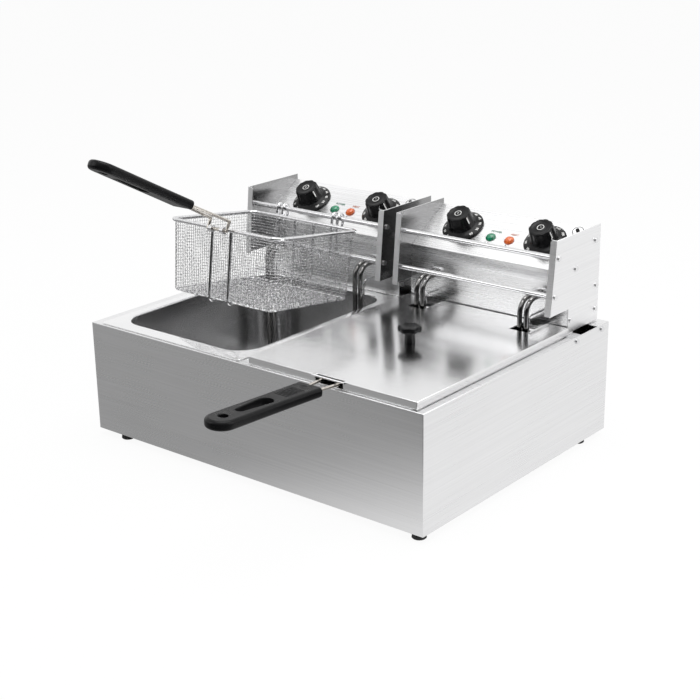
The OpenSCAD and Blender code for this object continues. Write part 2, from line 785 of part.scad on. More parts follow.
// Conical dial skirt with a lobed grip, turning on its spindle
module dial_knob() {
    dial_z = skirt_gap + rim_t + cone_rise;
    top_r = knob_dia / 2 - grip_taper;
    difference() {
        rotate_extrude() polygon([[0, skirt_gap], [skirt_dia / 2, skirt_gap], [skirt_dia / 2, skirt_gap + rim_t],
            [knob_dia / 2 + 2, dial_z], [knob_dia / 2, dial_z + 1], [top_r, knob_h - 2],
            [top_r - 2, knob_h], [0, knob_h]]);
        translate([0, 0, -1]) cylinder(h = spindle_out + 1 + lift_gap, d = spindle_dia + 2 * run_fit);
        for (i = [0 : lobes - 1]) rotate([0, 0, (i + 0.5) * 360 / lobes])
            translate([top_r + lobe_cut / 2 - lobe_depth, 0, dial_z + 1.5]) cylinder(h = knob_h, d = lobe_cut);
    }
}

module timer_knob(side) color(black) at_head(side) on_panel(-timer_x, knob_up) dial_knob();

module thermostat_knob(side) color(black) at_head(side) on_panel(thermo_x, knob_up) dial_knob();

// ---- baskets, drawn with the middle of the rear rim wire at the origin ----

rim_bend = 14;
strap_x = 17;
mesh_gap = 0.1;
mesh_round = 6;
strap_bend = mesh_round + frame_wire / 2 + mesh_gap;
hook_tail = 9;
hook_low = 4;

module basket_frame(side) color(steel) basket_place(side) {
    rim_inner = basket_w - rim_wire;
    translate([0, -basket_l / 2, 0]) wire_loop(rim_inner, basket_l, rim_bend, rim_wire);
    for (s = [-1, 1]) {
        translate([s * strap_x, 0, 0]) rotate([90, 0, 90])
            bent_rod([[0, 0], [0, -basket_h], [-basket_l, -basket_h], [-basket_l, 0]], strap_bend, frame_wire);
        translate([s * hook_pitch / 2, 0, 0]) hook();
        translate([s * (handle_w / 2 - handle_wire_dia / 2 - bar_clear - eye_w / 2), -basket_l, 0]) hinge_eye();
    }
}

// Closed wire bent over the rod, its foot against the lower rod
module hook() {
    drop = rod_gap / cos(hang_tilt) - hook_rise + hook_low;
    for (s = [-1, 1]) translate([s * hook_w / 2, 0, 0]) {
        wire([0, hook_reach, -drop], [0, hook_reach, hook_rise], frame_wire);
        wire([0, hook_reach + 2 * hook_r, hook_rise - hook_tail], [0, hook_reach + 2 * hook_r, hook_rise], frame_wire);
        translate([0, hook_y, hook_rise]) rotate([90, 0, 90]) rotate_extrude(angle = 180) translate([hook_r, 0])
            circle(d = frame_wire);
    }
    for (p = [[hook_reach, -drop], [hook_reach + 2 * hook_r, hook_rise - hook_tail]])
        translate([0, p[0], p[1]]) rotate([-90, 0, 0]) rotate_extrude(angle = 180) translate([hook_w / 2, 0])
            circle(d = frame_wire);
}

// Eye in front of the rim wire that the handle's bar turns in
module hinge_eye() difference() {
    union() {
        translate([-eye_w / 2, -bar_reach, 0]) rotate([0, 90, 0]) cylinder(h = eye_w, d = eye_dia);
        block(-eye_w / 2, eye_w / 2, -bar_reach, 0, -rim_wire / 2 + 0.3, rim_wire / 2 - 0.3);
    }
    translate([-eye_w, -bar_reach, 0]) rotate([0, 90, 0]) cylinder(h = 2 * eye_w, d = handle_wire_dia + 2 * run_fit);
}

// Width and depth section of the mesh body, drawn in by t
module mesh_section(t) {
    top = basket_w / 2 - rim_wire / 2;
    low = top - basket_taper / 2;
    floor_z = -basket_h + frame_wire / 2 + mesh_gap + t;
    r = mesh_round - t;
    polygon(concat([[-top + t, t > 0 ? 1 : -rim_wire / 2 - mesh_gap]],
        [for (a = [180 : 15 : 270]) [-low + t + r + r * cos(a), floor_z + r + r * sin(a)]],
        [for (a = [270 : 15 : 360]) [low - t - r + r * cos(a), floor_z + r + r * sin(a)]],
        [[top - t, t > 0 ? 1 : -rim_wire / 2 - mesh_gap]]));
}

// Basket's mesh body as the common space of its three outlines, drawn in by t
module mesh_body(t) {
    l = basket_l - frame_wire - 2 * mesh_gap - 2 * t;
    w = basket_w - rim_wire - 2 * t;
    floor_z = -basket_h + frame_wire / 2 + mesh_gap + t;
    r = mesh_round - t;
    intersection() {
        translate([0, -basket_l / 2 + l / 2, 0]) rotate([90, 0, 0]) linear_extrude(l) mesh_section(t);
        translate([0, -basket_l / 2, -basket_h]) linear_extrude(basket_h + 2) round_rect(w, l, rim_bend - t);
        along_x(basket_w) translate([-basket_l / 2, 0]) {
            translate([-l / 2, floor_z + r]) square([l, basket_h]);
            translate([-l / 2 + r, floor_z]) square([l - 2 * r, 2 * r]);
            for (s = [-1, 1]) translate([s * (l / 2 - r), floor_z + r]) circle(r);
        }
    }
}

module basket_mesh(side) color(steel) basket_place(side) difference() {
    mesh_body(0);
    mesh_body(mesh_t);
}

// ---- handles, drawn with the hinge bar on the X axis and the grip towards -Y ----

wire_in = 22;
grip_wire_x = 7;

function wire_side(s, t) = [s * (handle_w / 2 + (grip_wire_x - handle_w / 2) * t / (wire_len + wire_in)), -t, handle_rise];

module handle_wires(side) color(steel) handle_place(side) {
    bar = handle_w / 2;
    wire([-bar, 0, 0], [bar, 0, 0], handle_wire_dia);
    for (s = [-1, 1]) {
        translate([s * bar, 0, 0]) sphere(d = handle_wire_dia * 1.02);
        wire([s * bar, 0, 0], [s * bar, 0, handle_rise], handle_wire_dia);
        translate([s * bar, 0, handle_rise]) sphere(d = handle_wire_dia * 1.02);
        wire(wire_side(s, 0), wire_side(s, wire_len + wire_in), handle_wire_dia);
    }
}

grip_round = 4.5;
slot_start = 68;
slot_end = 124;
slot_wide = 19;
slot_narrow = 11;
hang_hole = 12;
hang_at = 145;

module handle_grip(side) color(black) handle_place(side) translate([0, -wire_len, handle_rise]) difference() {
    intersection() {
        translate([0, 0, -grip_t]) linear_extrude(2 * grip_t) {
            translate([0, grip_w / 2 - grip_len]) circle(d = grip_w);
            translate([-grip_w / 2, grip_w / 2 - grip_len]) square([grip_w, grip_len - grip_w / 2]);
        }
        rotate([90, 0, 0]) linear_extrude(grip_len) round_rect(grip_w, grip_t, grip_round);
    }
    translate([0, 0, -grip_t]) linear_extrude(2 * grip_t) {
        translate([0, -slot_start - slot_wide / 2]) circle(d = slot_wide);
        translate([0, -slot_end + slot_narrow / 2]) circle(d = slot_narrow);
        polygon([[-slot_wide / 2, -slot_start - slot_wide / 2], [slot_wide / 2, -slot_start - slot_wide / 2],
            [slot_narrow / 2, -slot_end + slot_narrow / 2], [-slot_narrow / 2, -slot_end + slot_narrow / 2]]);
        translate([0, -hang_at]) circle(d = hang_hole);
    }
    for (s = [-1, 1]) translate([0, wire_len, -handle_rise])
        wire(wire_side(s, wire_len - 1), wire_side(s, wire_len + wire_in + lift_gap), handle_wire_dia + 2 * run_fit);
}

// ---- lid ----

lid_knob_y = rim_front + lid_l / 2 - 5;
bridge_dia = 2.6;
bridge_lap = 4;
knob_stem = 14;
knob_cap = 8;
knob_lobes = 6;
lid_screw_dia = 4;

module at_lid() in_place() translate([unit_x(right), 0, 0]) children();

module lid_panel() color(steel) at_lid() difference() {
    rear = rim_front + lid_l;
    block(-lid_w / 2, lid_w / 2, rim_front, rear, lid_z, lid_top);
    block(-lid_w / 2 + sheet, lid_w / 2 - sheet, rim_front + sheet, rear - sheet, lid_z - 1, lid_top - sheet);
    block(-slot_w / 2, slot_w / 2, rim_front - 1, rim_front + slot_l, lid_z - 1, lid_top + 1);
    for (s = [-1, 1]) translate([s * pair_x, 0, 0])
        block(-tube_slot / 2, tube_slot / 2, rear - tube_slot_l, rear + 1, lid_z - 1, lid_top + 1);
    translate([0, lid_knob_y, lid_top - 2 * sheet]) cylinder(h = 4 * sheet, d = lid_screw_dia + 2 * lift_gap);
}

// Wire that bridges the handle slot at the lid's front edge
module lid_bridge() color(steel) at_lid() {
    half = slot_w / 2 + bridge_lap;
    y = rim_front - bridge_dia / 2 - mesh_gap;
    wire([-half, y, lid_top - 0.4], [half, y, lid_top - 0.4], bridge_dia);
}

module lid_knob() color(black) at_lid() translate([0, lid_knob_y, lid_top]) difference() {
    union() {
        cylinder(h = lid_knob_h - knob_cap / 2, d = knob_stem);
        translate([0, 0, lid_knob_h - knob_cap]) rotate_extrude() polygon([[0, 0], [lid_knob_dia / 2 - 3, 0],
            [lid_knob_dia / 2, 2], [lid_knob_dia / 2, knob_cap - 2.5], [lid_knob_dia / 2 - 2.5, knob_cap], [0, knob_cap]]);
    }
    for (i = [0 : knob_lobes - 1]) rotate([0, 0, (i + 0.5) * 360 / knob_lobes])
        translate([lid_knob_dia / 2 + 3, 0, lid_knob_h - knob_cap - 1]) cylinder(h = knob_cap + 2, d = 9);
    translate([0, 0, -1]) cylinder(h = screw_in + 2, d = lid_screw_dia + 2 * run_fit);
}

module lid_screw() color(steel) at_lid() translate([0, lid_knob_y, lid_top - sheet]) {
    translate([0, 0, -2]) cylinder(h = 2, d = 8);
    translate([0, 0, -1]) cylinder(h = sheet + screw_in, d = lid_screw_dia);
}

cabinet_shell();
cabinet_base();
cross_rail();
centre_beam();
cabinet_screws();
feet();
tank(left);  // tank_left
tank(right);  // tank_right
side_plates(left);  // side_plates_left
side_plates(right);  // side_plates_right
control_box(left);  // control_box_left
control_box(right);  // control_box_right
rear_cover(left);  // rear_cover_left
rear_cover(right);  // rear_cover_right
hanging_rods(left);  // hanging_rods_left
hanging_rods(right);  // hanging_rods_right
head_screws(left);  // head_screws_left
head_screws(right);  // head_screws_right
element(left);  // element_left
element(right);  // element_right
element_flanges(left);  // element_flanges_left
element_flanges(right);  // element_flanges_right
thermostat(left);  // thermostat_left
thermostat(right);  // thermostat_right
limiter(left);  // limiter_left
limiter(right);  // limiter_right
oil_sensors(left);  // oil_sensors_left
oil_sensors(right);  // oil_sensors_right
timer(left);  // timer_left
timer(right);  // timer_right
lamp(left, -1, "green");  // lamp_green_left
lamp(right, -1, "green");  // lamp_green_right
lamp(left, 1, "orange");  // lamp_orange_left
lamp(right, 1, "orange");  // lamp_orange_right
reset_collar(left);  // reset_collar_left
reset_collar(right);  // reset_collar_right
reset_button(left);  // reset_button_left
reset_button(right);  // reset_button_right
terminal_block(left);  // terminal_block_left
terminal_block(right);  // terminal_block_right
seat_switch(left);  // seat_switch_left
seat_switch(right);  // seat_switch_right
cable_gland(left);  // cable_gland_left
cable_gland(right);  // cable_gland_right
timer_knob(left);  // timer_knob_left
timer_knob(right);  // timer_knob_right
thermostat_knob(left);  // thermostat_knob_left
thermostat_knob(right);  // thermostat_knob_right
basket_frame(left);  // basket_frame_left
basket_frame(right);  // basket_frame_right
basket_mesh(left);  // basket_mesh_left
basket_mesh(right);  // basket_mesh_right
handle_wires(left);  // handle_wires_left
handle_wires(right);  // handle_wires_right
handle_grip(left);  // handle_grip_left
handle_grip(right);  // handle_grip_right
lid_panel();
lid_bridge();
lid_knob();
lid_screw();
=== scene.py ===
# Twin-tank countertop deep fryer: finishes, woven baskets, moulded grips and knobs, light and camera.
import json
import math
from types import SimpleNamespace
import bmesh
import bpy
import numpy as np
from mathutils import Matrix, Vector

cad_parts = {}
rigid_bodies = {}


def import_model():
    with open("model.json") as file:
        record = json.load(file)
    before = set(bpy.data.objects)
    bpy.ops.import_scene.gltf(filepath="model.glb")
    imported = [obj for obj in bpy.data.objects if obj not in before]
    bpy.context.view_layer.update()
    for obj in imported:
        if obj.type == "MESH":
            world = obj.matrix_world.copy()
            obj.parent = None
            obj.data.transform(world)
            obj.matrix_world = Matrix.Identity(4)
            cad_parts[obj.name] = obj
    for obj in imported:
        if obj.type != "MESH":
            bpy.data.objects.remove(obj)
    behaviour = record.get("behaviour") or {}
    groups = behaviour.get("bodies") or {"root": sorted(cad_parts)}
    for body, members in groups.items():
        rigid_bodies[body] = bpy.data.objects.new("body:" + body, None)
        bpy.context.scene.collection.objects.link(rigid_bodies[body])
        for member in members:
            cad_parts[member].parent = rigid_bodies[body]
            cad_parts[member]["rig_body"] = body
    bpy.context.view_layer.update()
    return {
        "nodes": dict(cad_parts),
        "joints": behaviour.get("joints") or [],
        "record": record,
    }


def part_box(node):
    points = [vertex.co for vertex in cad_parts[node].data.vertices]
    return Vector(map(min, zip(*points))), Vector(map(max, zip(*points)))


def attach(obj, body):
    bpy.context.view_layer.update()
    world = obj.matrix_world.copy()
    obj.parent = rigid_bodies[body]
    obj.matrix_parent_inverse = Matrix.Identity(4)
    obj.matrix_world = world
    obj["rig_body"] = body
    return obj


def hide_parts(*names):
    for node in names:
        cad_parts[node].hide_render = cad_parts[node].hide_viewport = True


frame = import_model()
nodes = frame["nodes"]
joints = {j["name"]: j for j in frame["joints"]}
slotOf = {p["node"]: p["material_slot"] for p in frame["record"]["subparts"]}
print("frame loaded:", len(nodes), "nodes")

mm = 0.001
unitX = {"left": -135.5 * mm, "right": 135.5 * mm}
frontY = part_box("cabinet_shell")[0].y  # front face of the cabinet; depths below are counted from it

# ---------- camera ----------

cameraLook = dict(place=(1.14628, frontY - 1.18434, 0.75282), azimuth=39.4576, elevation=19.3213,
                  roll=-0.9206, lens=73.42, sensor=36)


def makeCamera(look):
    # back = (sin a cos e, -cos a cos e, sin e), right = (cos a, sin a, 0), up = back x right, then the roll
    a, e, r = (math.radians(look[k]) for k in ("azimuth", "elevation", "roll"))
    back = Vector((math.sin(a) * math.cos(e), -math.cos(a) * math.cos(e), math.sin(e)))
    right = Vector((math.cos(a), math.sin(a), 0))
    up = back.cross(right)
    rightTurned = math.cos(r) * right + math.sin(r) * up
    upTurned = -math.sin(r) * right + math.cos(r) * up
    camera = bpy.data.objects.new("camera", bpy.data.cameras.new("camera"))
    camera.data.sensor_width = look["sensor"]
    camera.data.lens = look["lens"]
    turn = Matrix((rightTurned, upTurned, back)).transposed().to_4x4()
    camera.matrix_world = Matrix.Translation(look["place"]) @ turn
    bpy.context.scene.collection.objects.link(camera)
    bpy.context.scene.camera = camera


makeCamera(cameraLook)
print("camera placed")

# ---------- shader helpers ----------


class Graph:
    # a node tree with short calls: add() makes a node and wires or sets its inputs
    def __init__(self, tree):
        self.tree = tree
        tree.nodes.clear()

    def add(self, kind, inputs=None, **settings):
        node = self.tree.nodes.new("ShaderNode" + kind)
        for key, value in settings.items():
            setattr(node, key, value)
        for key, value in (inputs or {}).items():
            if isinstance(value, bpy.types.NodeSocket):
                self.tree.links.new(value, node.inputs[key])
            else:
                node.inputs[key].default_value = value
        return node

    def math(self, operation, a, b=0.0, clamp=False):
        return self.add("Math", {0: a, 1: b}, operation=operation, use_clamp=clamp).outputs[0]

    def spread(self, value, low, high, toLow, toHigh, way="LINEAR"):
        ends = {0: value, 1: low, 2: high, 3: toLow, 4: toHigh}
        return self.add("MapRange", ends, interpolation_type=way).outputs[0]

    def sway(self, noise, middle, reach):
        # noise of 0.3 to 0.7 becomes middle - reach to middle + reach
        return self.spread(noise, 0.3, 0.7, middle - reach, middle + reach)

    def blend(self, factor, a, b):
        return self.add("Mix", {0: factor, 2: a, 3: b}, data_type="FLOAT").outputs[0]

    def place(self):
        return self.add("TexCoord").outputs["Object"]

    def noise(self, vector, scale, detail=2.0, rough=0.5):
        inputs = {"Vector": vector, "Scale": scale, "Detail": detail, "Roughness": rough}
        return self.add("TexNoise", inputs).outputs[0]

    def streaks(self, vector, scale, detail=3.0, rough=0.6):
        # noise drawn out along the axes whose scale is small
        return self.noise(self.add("Mapping", {0: vector, 3: scale}).outputs[0], 1.0, detail, rough)

    def tone(self, color, factor):
        return self.add("VectorMath", {0: color, "Scale": factor}, operation="SCALE").outputs[0]

    def bump(self, strength, distance, height):
        inputs = {"Strength": strength, "Distance": distance, "Height": height}
        return self.add("Bump", inputs).outputs[0]

    def along(self, split, way):
        # how far a point or direction reaches along a level direction
        parts = [self.math("MULTIPLY", split.outputs[i], way[i]) for i in (0, 1)]
        return self.math("ADD", *parts)

    def mirrored(self, path):
        # 1 for rays that left a glossy or clear surface
        return self.math("MAXIMUM", path.outputs["Is Glossy Ray"], path.outputs["Is Transmission Ray"])

    def surface(self, inputs):
        self.add("OutputMaterial", {0: self.add("BsdfPrincipled", inputs).outputs[0]})


def newMaterial(name):
    material = bpy.data.materials.new(name)
    material.use_nodes = True
    return material, Graph(material.node_tree)


def opaque(color):
    return tuple(color) + (1,)


# ---------- surfaces ----------


def dullArea(g, place, normal, look):
    # where painted shade goes: 1 below a height (the tank's well under its rim), or on faces that look
    # sideways and lie near enough to the middle (the side plates' faces in the gaps between them); 0
    # elsewhere
    at = g.add("SeparateXYZ", {0: place})
    if "under" in look:
        return g.spread(at.outputs[2], look["under"][0], look["under"][1], 1.0, 0.0)
    sideways = g.spread(g.math("ABSOLUTE", normal.outputs[0]), 0.6, 0.8, 0.0, 1.0)
    within = g.math("LESS_THAN", g.math("ABSOLUTE", at.outputs[0]), look["within"])
    return g.math("MULTIPLY", sideways, within)


def brushedSteel(name, look):
    # streak: noise drawn out along X on level faces, along the wall on upright ones, told by the normal's z
    # tone = colour * (1 + contrast * streak) * (1 + cloud * smudge), with streak and smudge from -1 to 1
    # roughness = rough + spread * (smudge + streak); where shade is painted the tone is multiplied by a
    # darker factor (painted shade) and roughness gets plus matt
    material, g = newMaterial(name)
    place = g.place()
    normal = g.add("SeparateXYZ", {0: g.add("NewGeometry").outputs["Normal"]})
    level = g.spread(g.math("ABSOLUTE", normal.outputs[2]), 0.4, 0.6, 0.0, 1.0)
    fine, far = look["fine"], look["long"]
    streak = g.blend(level, g.streaks(place, (far, far, fine)), g.streaks(place, (far, fine, far)))
    smudge = g.noise(place, look["smudgeScale"], 3.0, 0.55)
    cloud = g.spread(smudge, 0.35, 0.65, 1 - look["cloud"], 1 + look["cloud"])
    shade = g.math("MULTIPLY", g.sway(streak, 1, look["contrast"]), cloud)
    grain = g.sway(streak, 0, look["spread"])
    rough = g.math("ADD", g.sway(smudge, look["rough"], look["spread"]), grain, clamp=True)
    # painted shade: a darker tone where less light falls, in the tank's well and between the side plates
    if "paintedShade" in look:
        area = dullArea(g, place, normal, look)
        shade = g.math("MULTIPLY", shade, g.spread(area, 0.0, 1.0, 1.0, look["paintedShade"]))
        rough = g.math("ADD", rough, g.spread(area, 0.0, 1.0, 0.0, look["matt"]), clamp=True)
    g.surface({"Base Color": g.tone(look["color"], shade), "Metallic": 1.0, "Roughness": rough,
               "Normal": g.bump(look["bump"], 0.0002, streak)})
    return material


def brightWire(name, look):
    # tone = colour * (1 + contrast * grain), roughness = rough + spread * grain, with grain from -1 to 1
    material, g = newMaterial(name)
    grain = g.noise(g.place(), look["grain"])
    g.surface({"Base Color": g.tone(look["color"], g.sway(grain, 1, look["contrast"])), "Metallic": 1.0,
               "Roughness": g.sway(grain, look["rough"], look["spread"]),
               "Normal": g.bump(look["bump"], 0.0001, grain)})
    return material


def heatedTube(name, look):
    # three greys follow one another along a slow noise; a quick noise gives the bump and a roughness of
    # rough - 0.05 to rough + 0.07
    material, g = newMaterial(name)
    place = g.place()
    quick = g.noise(place, 900.0)
    ramp = g.add("ValToRGB", {0: g.noise(place, 26.0, 3.0)})
    for at, color in zip((0.3, 0.5, 0.7), look["colors"]):
        ramp.color_ramp.elements.new(at).color = opaque(color)
    for last in (0, -1):
        ramp.color_ramp.elements.remove(ramp.color_ramp.elements[last])
    g.surface({"Base Color": ramp.outputs[0], "Metallic": 1.0, "Normal": g.bump(0.15, 0.0001, quick),
               "Roughness": g.spread(quick, 0.3, 0.7, look["rough"] - 0.05, look["rough"] + 0.07)})
    return material


def mouldedPlastic(name, look):
    # tone = colour * (0.8 to 1.25), roughness = rough + spread * wear by a slow noise; fine grain as bump
    material, g = newMaterial(name)
    place = g.place()
    wear = g.noise(place, 45.0, 3.0)
    grain = g.noise(place, look["grain"], 2.0, 0.7)
    g.surface({"Base Color": g.tone(look["color"], g.spread(wear, 0.3, 0.7, 0.8, 1.25)),
               "Roughness": g.sway(wear, look["rough"], look["spread"]),
               "Specular IOR Level": look["specular"], "Normal": g.bump(look["bump"], 0.00015, grain)})
    return material


def tintedLens(name, look):
    # ribs drawn out across X: colour from deep to bright over each rib, the bright side a painted highlight
    # on the facets; ribs as bump, a clear coat over it, and a faint painted glow of the same colour
    material, g = newMaterial(name)
    ribs = g.streaks(g.place(), (1600.0, 90.0, 90.0), 1.0, 0.5)
    ends = {0: g.spread(ribs, 0.35, 0.65, 0.0, 1.0), 6: opaque(look["deep"]), 7: opaque(look["bright"])}
    color = g.add("Mix", ends, data_type="RGBA").outputs[2]
    g.surface({"Base Color": color, "Roughness": 0.18, "Coat Weight": 0.8, "Coat Roughness": 0.05,
               # painted glow: a faint emission of the lens colour
               "Emission Color": color, "Emission Strength": look["glow"],
               "Normal": g.bump(0.3, 0.0002, ribs)})
    return material


def printedInk(name, color):
    # screen-print ink: tone = colour * (0.85 to 1.1) by a fine noise, roughness 0.45 to 0.6
    material, g = newMaterial(name)
    speck = g.noise(g.place(), 2500.0)
    g.surface({"Base Color": g.tone(color, g.spread(speck, 0.3, 0.7, 0.85, 1.1)),
               "Roughness": g.spread(speck, 0.3, 0.7, 0.45, 0.6)})
    return material


brushedLook = dict(color=(0.80, 0.80, 0.805), rough=0.30, spread=0.035, contrast=0.05, cloud=0.012,
                   fine=900.0, long=5.0, smudgeScale=7.0, bump=0.10)
mirrorLook = dict(color=(0.87, 0.87, 0.875), rough=0.13, spread=0.02, contrast=0.02, cloud=0.01,
                  fine=700.0, long=4.0, smudgeScale=9.0, bump=0.05)
foldedLook = dict(color=(0.60, 0.60, 0.61), rough=0.34, spread=0.04, contrast=0.04, cloud=0.03,
                  fine=500.0, long=6.0, smudgeScale=12.0, bump=0.08)
# the tank's tone is darkened to 0.78 below the rim: painted shade inside the well
drawnLook = dict(mirrorLook, rough=0.14, paintedShade=0.78, matt=0.1, under=(0.1585, 0.1612))
satinLook = dict(mirrorLook, color=(0.82, 0.82, 0.825), rough=0.17, contrast=0.04, bump=0.07)
# the side plates' faces that look into the gaps near the middle are darkened to 0.36: painted shade between
# the plates
plateLook = dict(brushedLook, color=(0.88, 0.88, 0.885), rough=0.42, paintedShade=0.36, matt=-0.18, within=0.2599)
boxLook = dict(brushedLook, color=(0.86, 0.86, 0.865), rough=0.27, contrast=0.12, bump=0.04)
polishedWireLook = dict(color=(0.74, 0.74, 0.75), rough=0.12, spread=0.04, contrast=0.12, grain=420.0,
                        bump=0.06)
handleWireLook = dict(polishedWireLook, color=(0.60, 0.565, 0.52), contrast=0.2)
wovenWireLook = dict(color=(0.82, 0.82, 0.83), rough=0.2, spread=0.06, contrast=0.5, grain=260.0,
                     bump=0.10)
zincLook = dict(color=(0.72, 0.72, 0.73), rough=0.24, spread=0.05, contrast=0.06, grain=600.0, bump=0.10)
tubeLook = dict(colors=((0.25, 0.25, 0.255), (0.30, 0.295, 0.29), (0.17, 0.17, 0.175)), rough=0.14)
phenolicLook = dict(color=(0.004, 0.004, 0.0045), rough=0.22, spread=0.04, grain=1500.0, bump=0.05,
                    specular=0.2)
gripLook = dict(color=(0.005, 0.005, 0.0055), rough=0.30, spread=0.05, grain=1900.0, bump=0.08,
                specular=0.15)
rubberLook = dict(color=(0.02, 0.02, 0.02), rough=0.7, spread=0.08, grain=1200.0, bump=0.25, specular=0.3)
ceramicLook = dict(color=(0.78, 0.77, 0.73), rough=0.5, spread=0.08, grain=900.0, bump=0.10, specular=0.4)
# deep and bright: the ribs' colours, the bright one a painted facet highlight; glow: strength of a painted
# glow
greenLook = dict(deep=(0.0, 0.07, 0.03), bright=(0.0, 0.30, 0.14), glow=0.08)
orangeLook = dict(deep=(0.35, 0.035, 0.0), bright=(0.85, 0.17, 0.02), glow=0.08)

# one finish for each material slot, then the nodes whose finish differs from their slot's
finishes = {
    "brushed_sheet": brushedSteel("brushedSheet", brushedLook),
    "mirror_sheet": brushedSteel("mirrorSheet", mirrorLook),
    "folded_sheet": brushedSteel("foldedSheet", foldedLook),
    "polished_wire": brightWire("polishedWire", polishedWireLook),
    "woven_mesh": brightWire("wovenWire", wovenWireLook),
    "screw_steel": brightWire("zincSteel", zincLook),
    "element_tube": heatedTube("heatedTube", tubeLook),
    "black_phenolic": mouldedPlastic("blackPhenolic", phenolicLook),
    "black_grip": mouldedPlastic("blackGrip", gripLook),
    "rubber_foot": mouldedPlastic("footRubber", rubberLook),
    "white_block": mouldedPlastic("whiteBlock", ceramicLook),
    "green_lens": tintedLens("greenLens", greenLook),
    "orange_lens": tintedLens("orangeLens", orangeLook),
}
whiteInk = printedInk("whiteInk", (0.88, 0.88, 0.86))
darkInk = printedInk("darkInk", (0.015, 0.015, 0.016))
greenInk = printedInk("greenInk", (0.02, 0.13, 0.08))
redInk = printedInk("redInk", (0.42, 0.09, 0.02))
pairFinish = {
    "control_box_": brushedSteel("boxSheet", boxLook),
    "side_plates_": brushedSteel("plateSheet", plateLook),
    "handle_wires_": brightWire("handleWire", handleWireLook),
    "tank_": brushedSteel("drawnSheet", drawnLook),
    "head_screws_": finishes["brushed_sheet"],
    "reset_collar_": finishes["brushed_sheet"],
}
nodeFinish = {start + side: finish for start, finish in pairFinish.items() for side in unitX}
nodeFinish["lid_panel"] = brushedSteel("satinSheet", satinLook)


def finishOf(nodeName):
    return nodeFinish.get(nodeName, finishes[slotOf[nodeName]])


for nodeName, item in nodes.items():
    item.data.materials.clear()
    item.data.materials.append(finishOf(nodeName))
print("finishes made:", len(finishes))

# ---------- mesh helpers ----------


def gridFaces(rows, columns, closeRows=False, closeColumns=False):
    # face (i, j) joins points i, i + 1 along the rows and j, j + 1 along the columns
    lastRow = rows if closeRows else rows - 1
    lastColumn = columns if closeColumns else columns - 1
    i, j = np.meshgrid(np.arange(lastRow), np.arange(lastColumn), indexing="ij")
    ii, jj = (i + 1) % rows, (j + 1) % columns
    corners = (i * columns + j, ii * columns + j, ii * columns + jj, i * columns + jj)
    return np.stack(corners, -1).reshape(-1, 4)


def linked(name, mesh, body, material):
    # an object at the origin that rides on a body
    mesh.materials.append(material)
    piece = bpy.data.objects.new(name, mesh)
    bpy.context.scene.collection.objects.link(piece)
    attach(piece, body)
    return piece


def addPiece(name, points, faces, body, slot, material=None, weld=0.0, sharp=None, replaces=None):
    mesh = bpy.data.meshes.new(name)
    mesh.from_pydata(np.asarray(points, float).reshape(-1, 3).tolist(), [], [list(f) for f in faces])
    if weld:
        shape = bmesh.new()
        shape.from_mesh(mesh)
        bmesh.ops.remove_doubles(shape, verts=shape.verts, dist=weld)
        bmesh.ops.dissolve_degenerate(shape, edges=shape.edges, dist=weld)
        bmesh.ops.recalc_face_normals(shape, faces=shape.faces)
        shape.to_mesh(mesh)
        shape.free()
    mesh.update()
    mesh.shade_smooth()
    if sharp:
        mesh.set_sharp_from_angle(angle=math.radians(sharp))
    piece = linked(name, mesh, body, material or finishes[slot])
    if replaces:
        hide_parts(replaces)
    return piece


def placed(points, matrix):
    # points turned and moved by a 4x4 matrix
    m = np.array(matrix)
    return np.asarray(points) @ m[:3, :3].T + m[:3, 3]


def unitVectors(v):
    return v / np.maximum(np.linalg.norm(v, axis=-1, keepdims=True), 1e-12)


def chord(radius, offset):
    # half the width of a circle at a distance from its middle
    return np.sqrt(np.maximum(radius ** 2 - offset ** 2, 0))


def sweepTubes(paths, normals, radius, sideCount, closed=False):
    # tube point = path + radius (cos v * across + sin v * outward), across = tangent x normal
    tangent = np.roll(paths, -1, 1) - np.roll(paths, 1, 1) if closed else np.gradient(paths, axis=1)
    tangent = unitVectors(tangent)
    across = unitVectors(np.cross(tangent, normals))
    outward = np.cross(across, tangent)
    v = np.arange(sideCount) * 2 * np.pi / sideCount
    ring = np.cos(v)[:, None] * across[..., None, :] + np.sin(v)[:, None] * outward[..., None, :]
    points = paths[..., None, :] + radius * ring
    count, length = paths.shape[:2]
    single = gridFaces(length, sideCount, closeRows=closed, closeColumns=True)
    steps = np.arange(count)[:, None, None] * length * sideCount
    faces = (single[None] + steps).reshape(-1, 4).tolist()
    if not closed:
        ends = np.arange(sideCount)
        starts = np.arange(count) * length * sideCount
        faces += [list(s + ends[::-1]) for s in starts]
        faces += [list(s + (length - 1) * sideCount + ends) for s in starts]
    return points.reshape(-1, 3), faces


def joined(parts):
    # one point list and one face list from several
    points, faces, first = [], [], 0
    for p, f in parts:
        points.append(p)
        faces += [[int(k) + first for k in face] for face in f]
        first += len(p)
    return np.concatenate(points), faces


# ---------- folded sheets ----------

sheetEdges = {"cabinet_shell": 0.45, "side_plates_left": 0.35, "side_plates_right": 0.35,
              "control_box_left": 0.35, "control_box_right": 0.35, "rear_cover_left": 0.3,
              "rear_cover_right": 0.3, "lid_panel": 0.45}
sheetLook = dict(merge=2e-6, flat=0.5, sharp=35, segments=2)


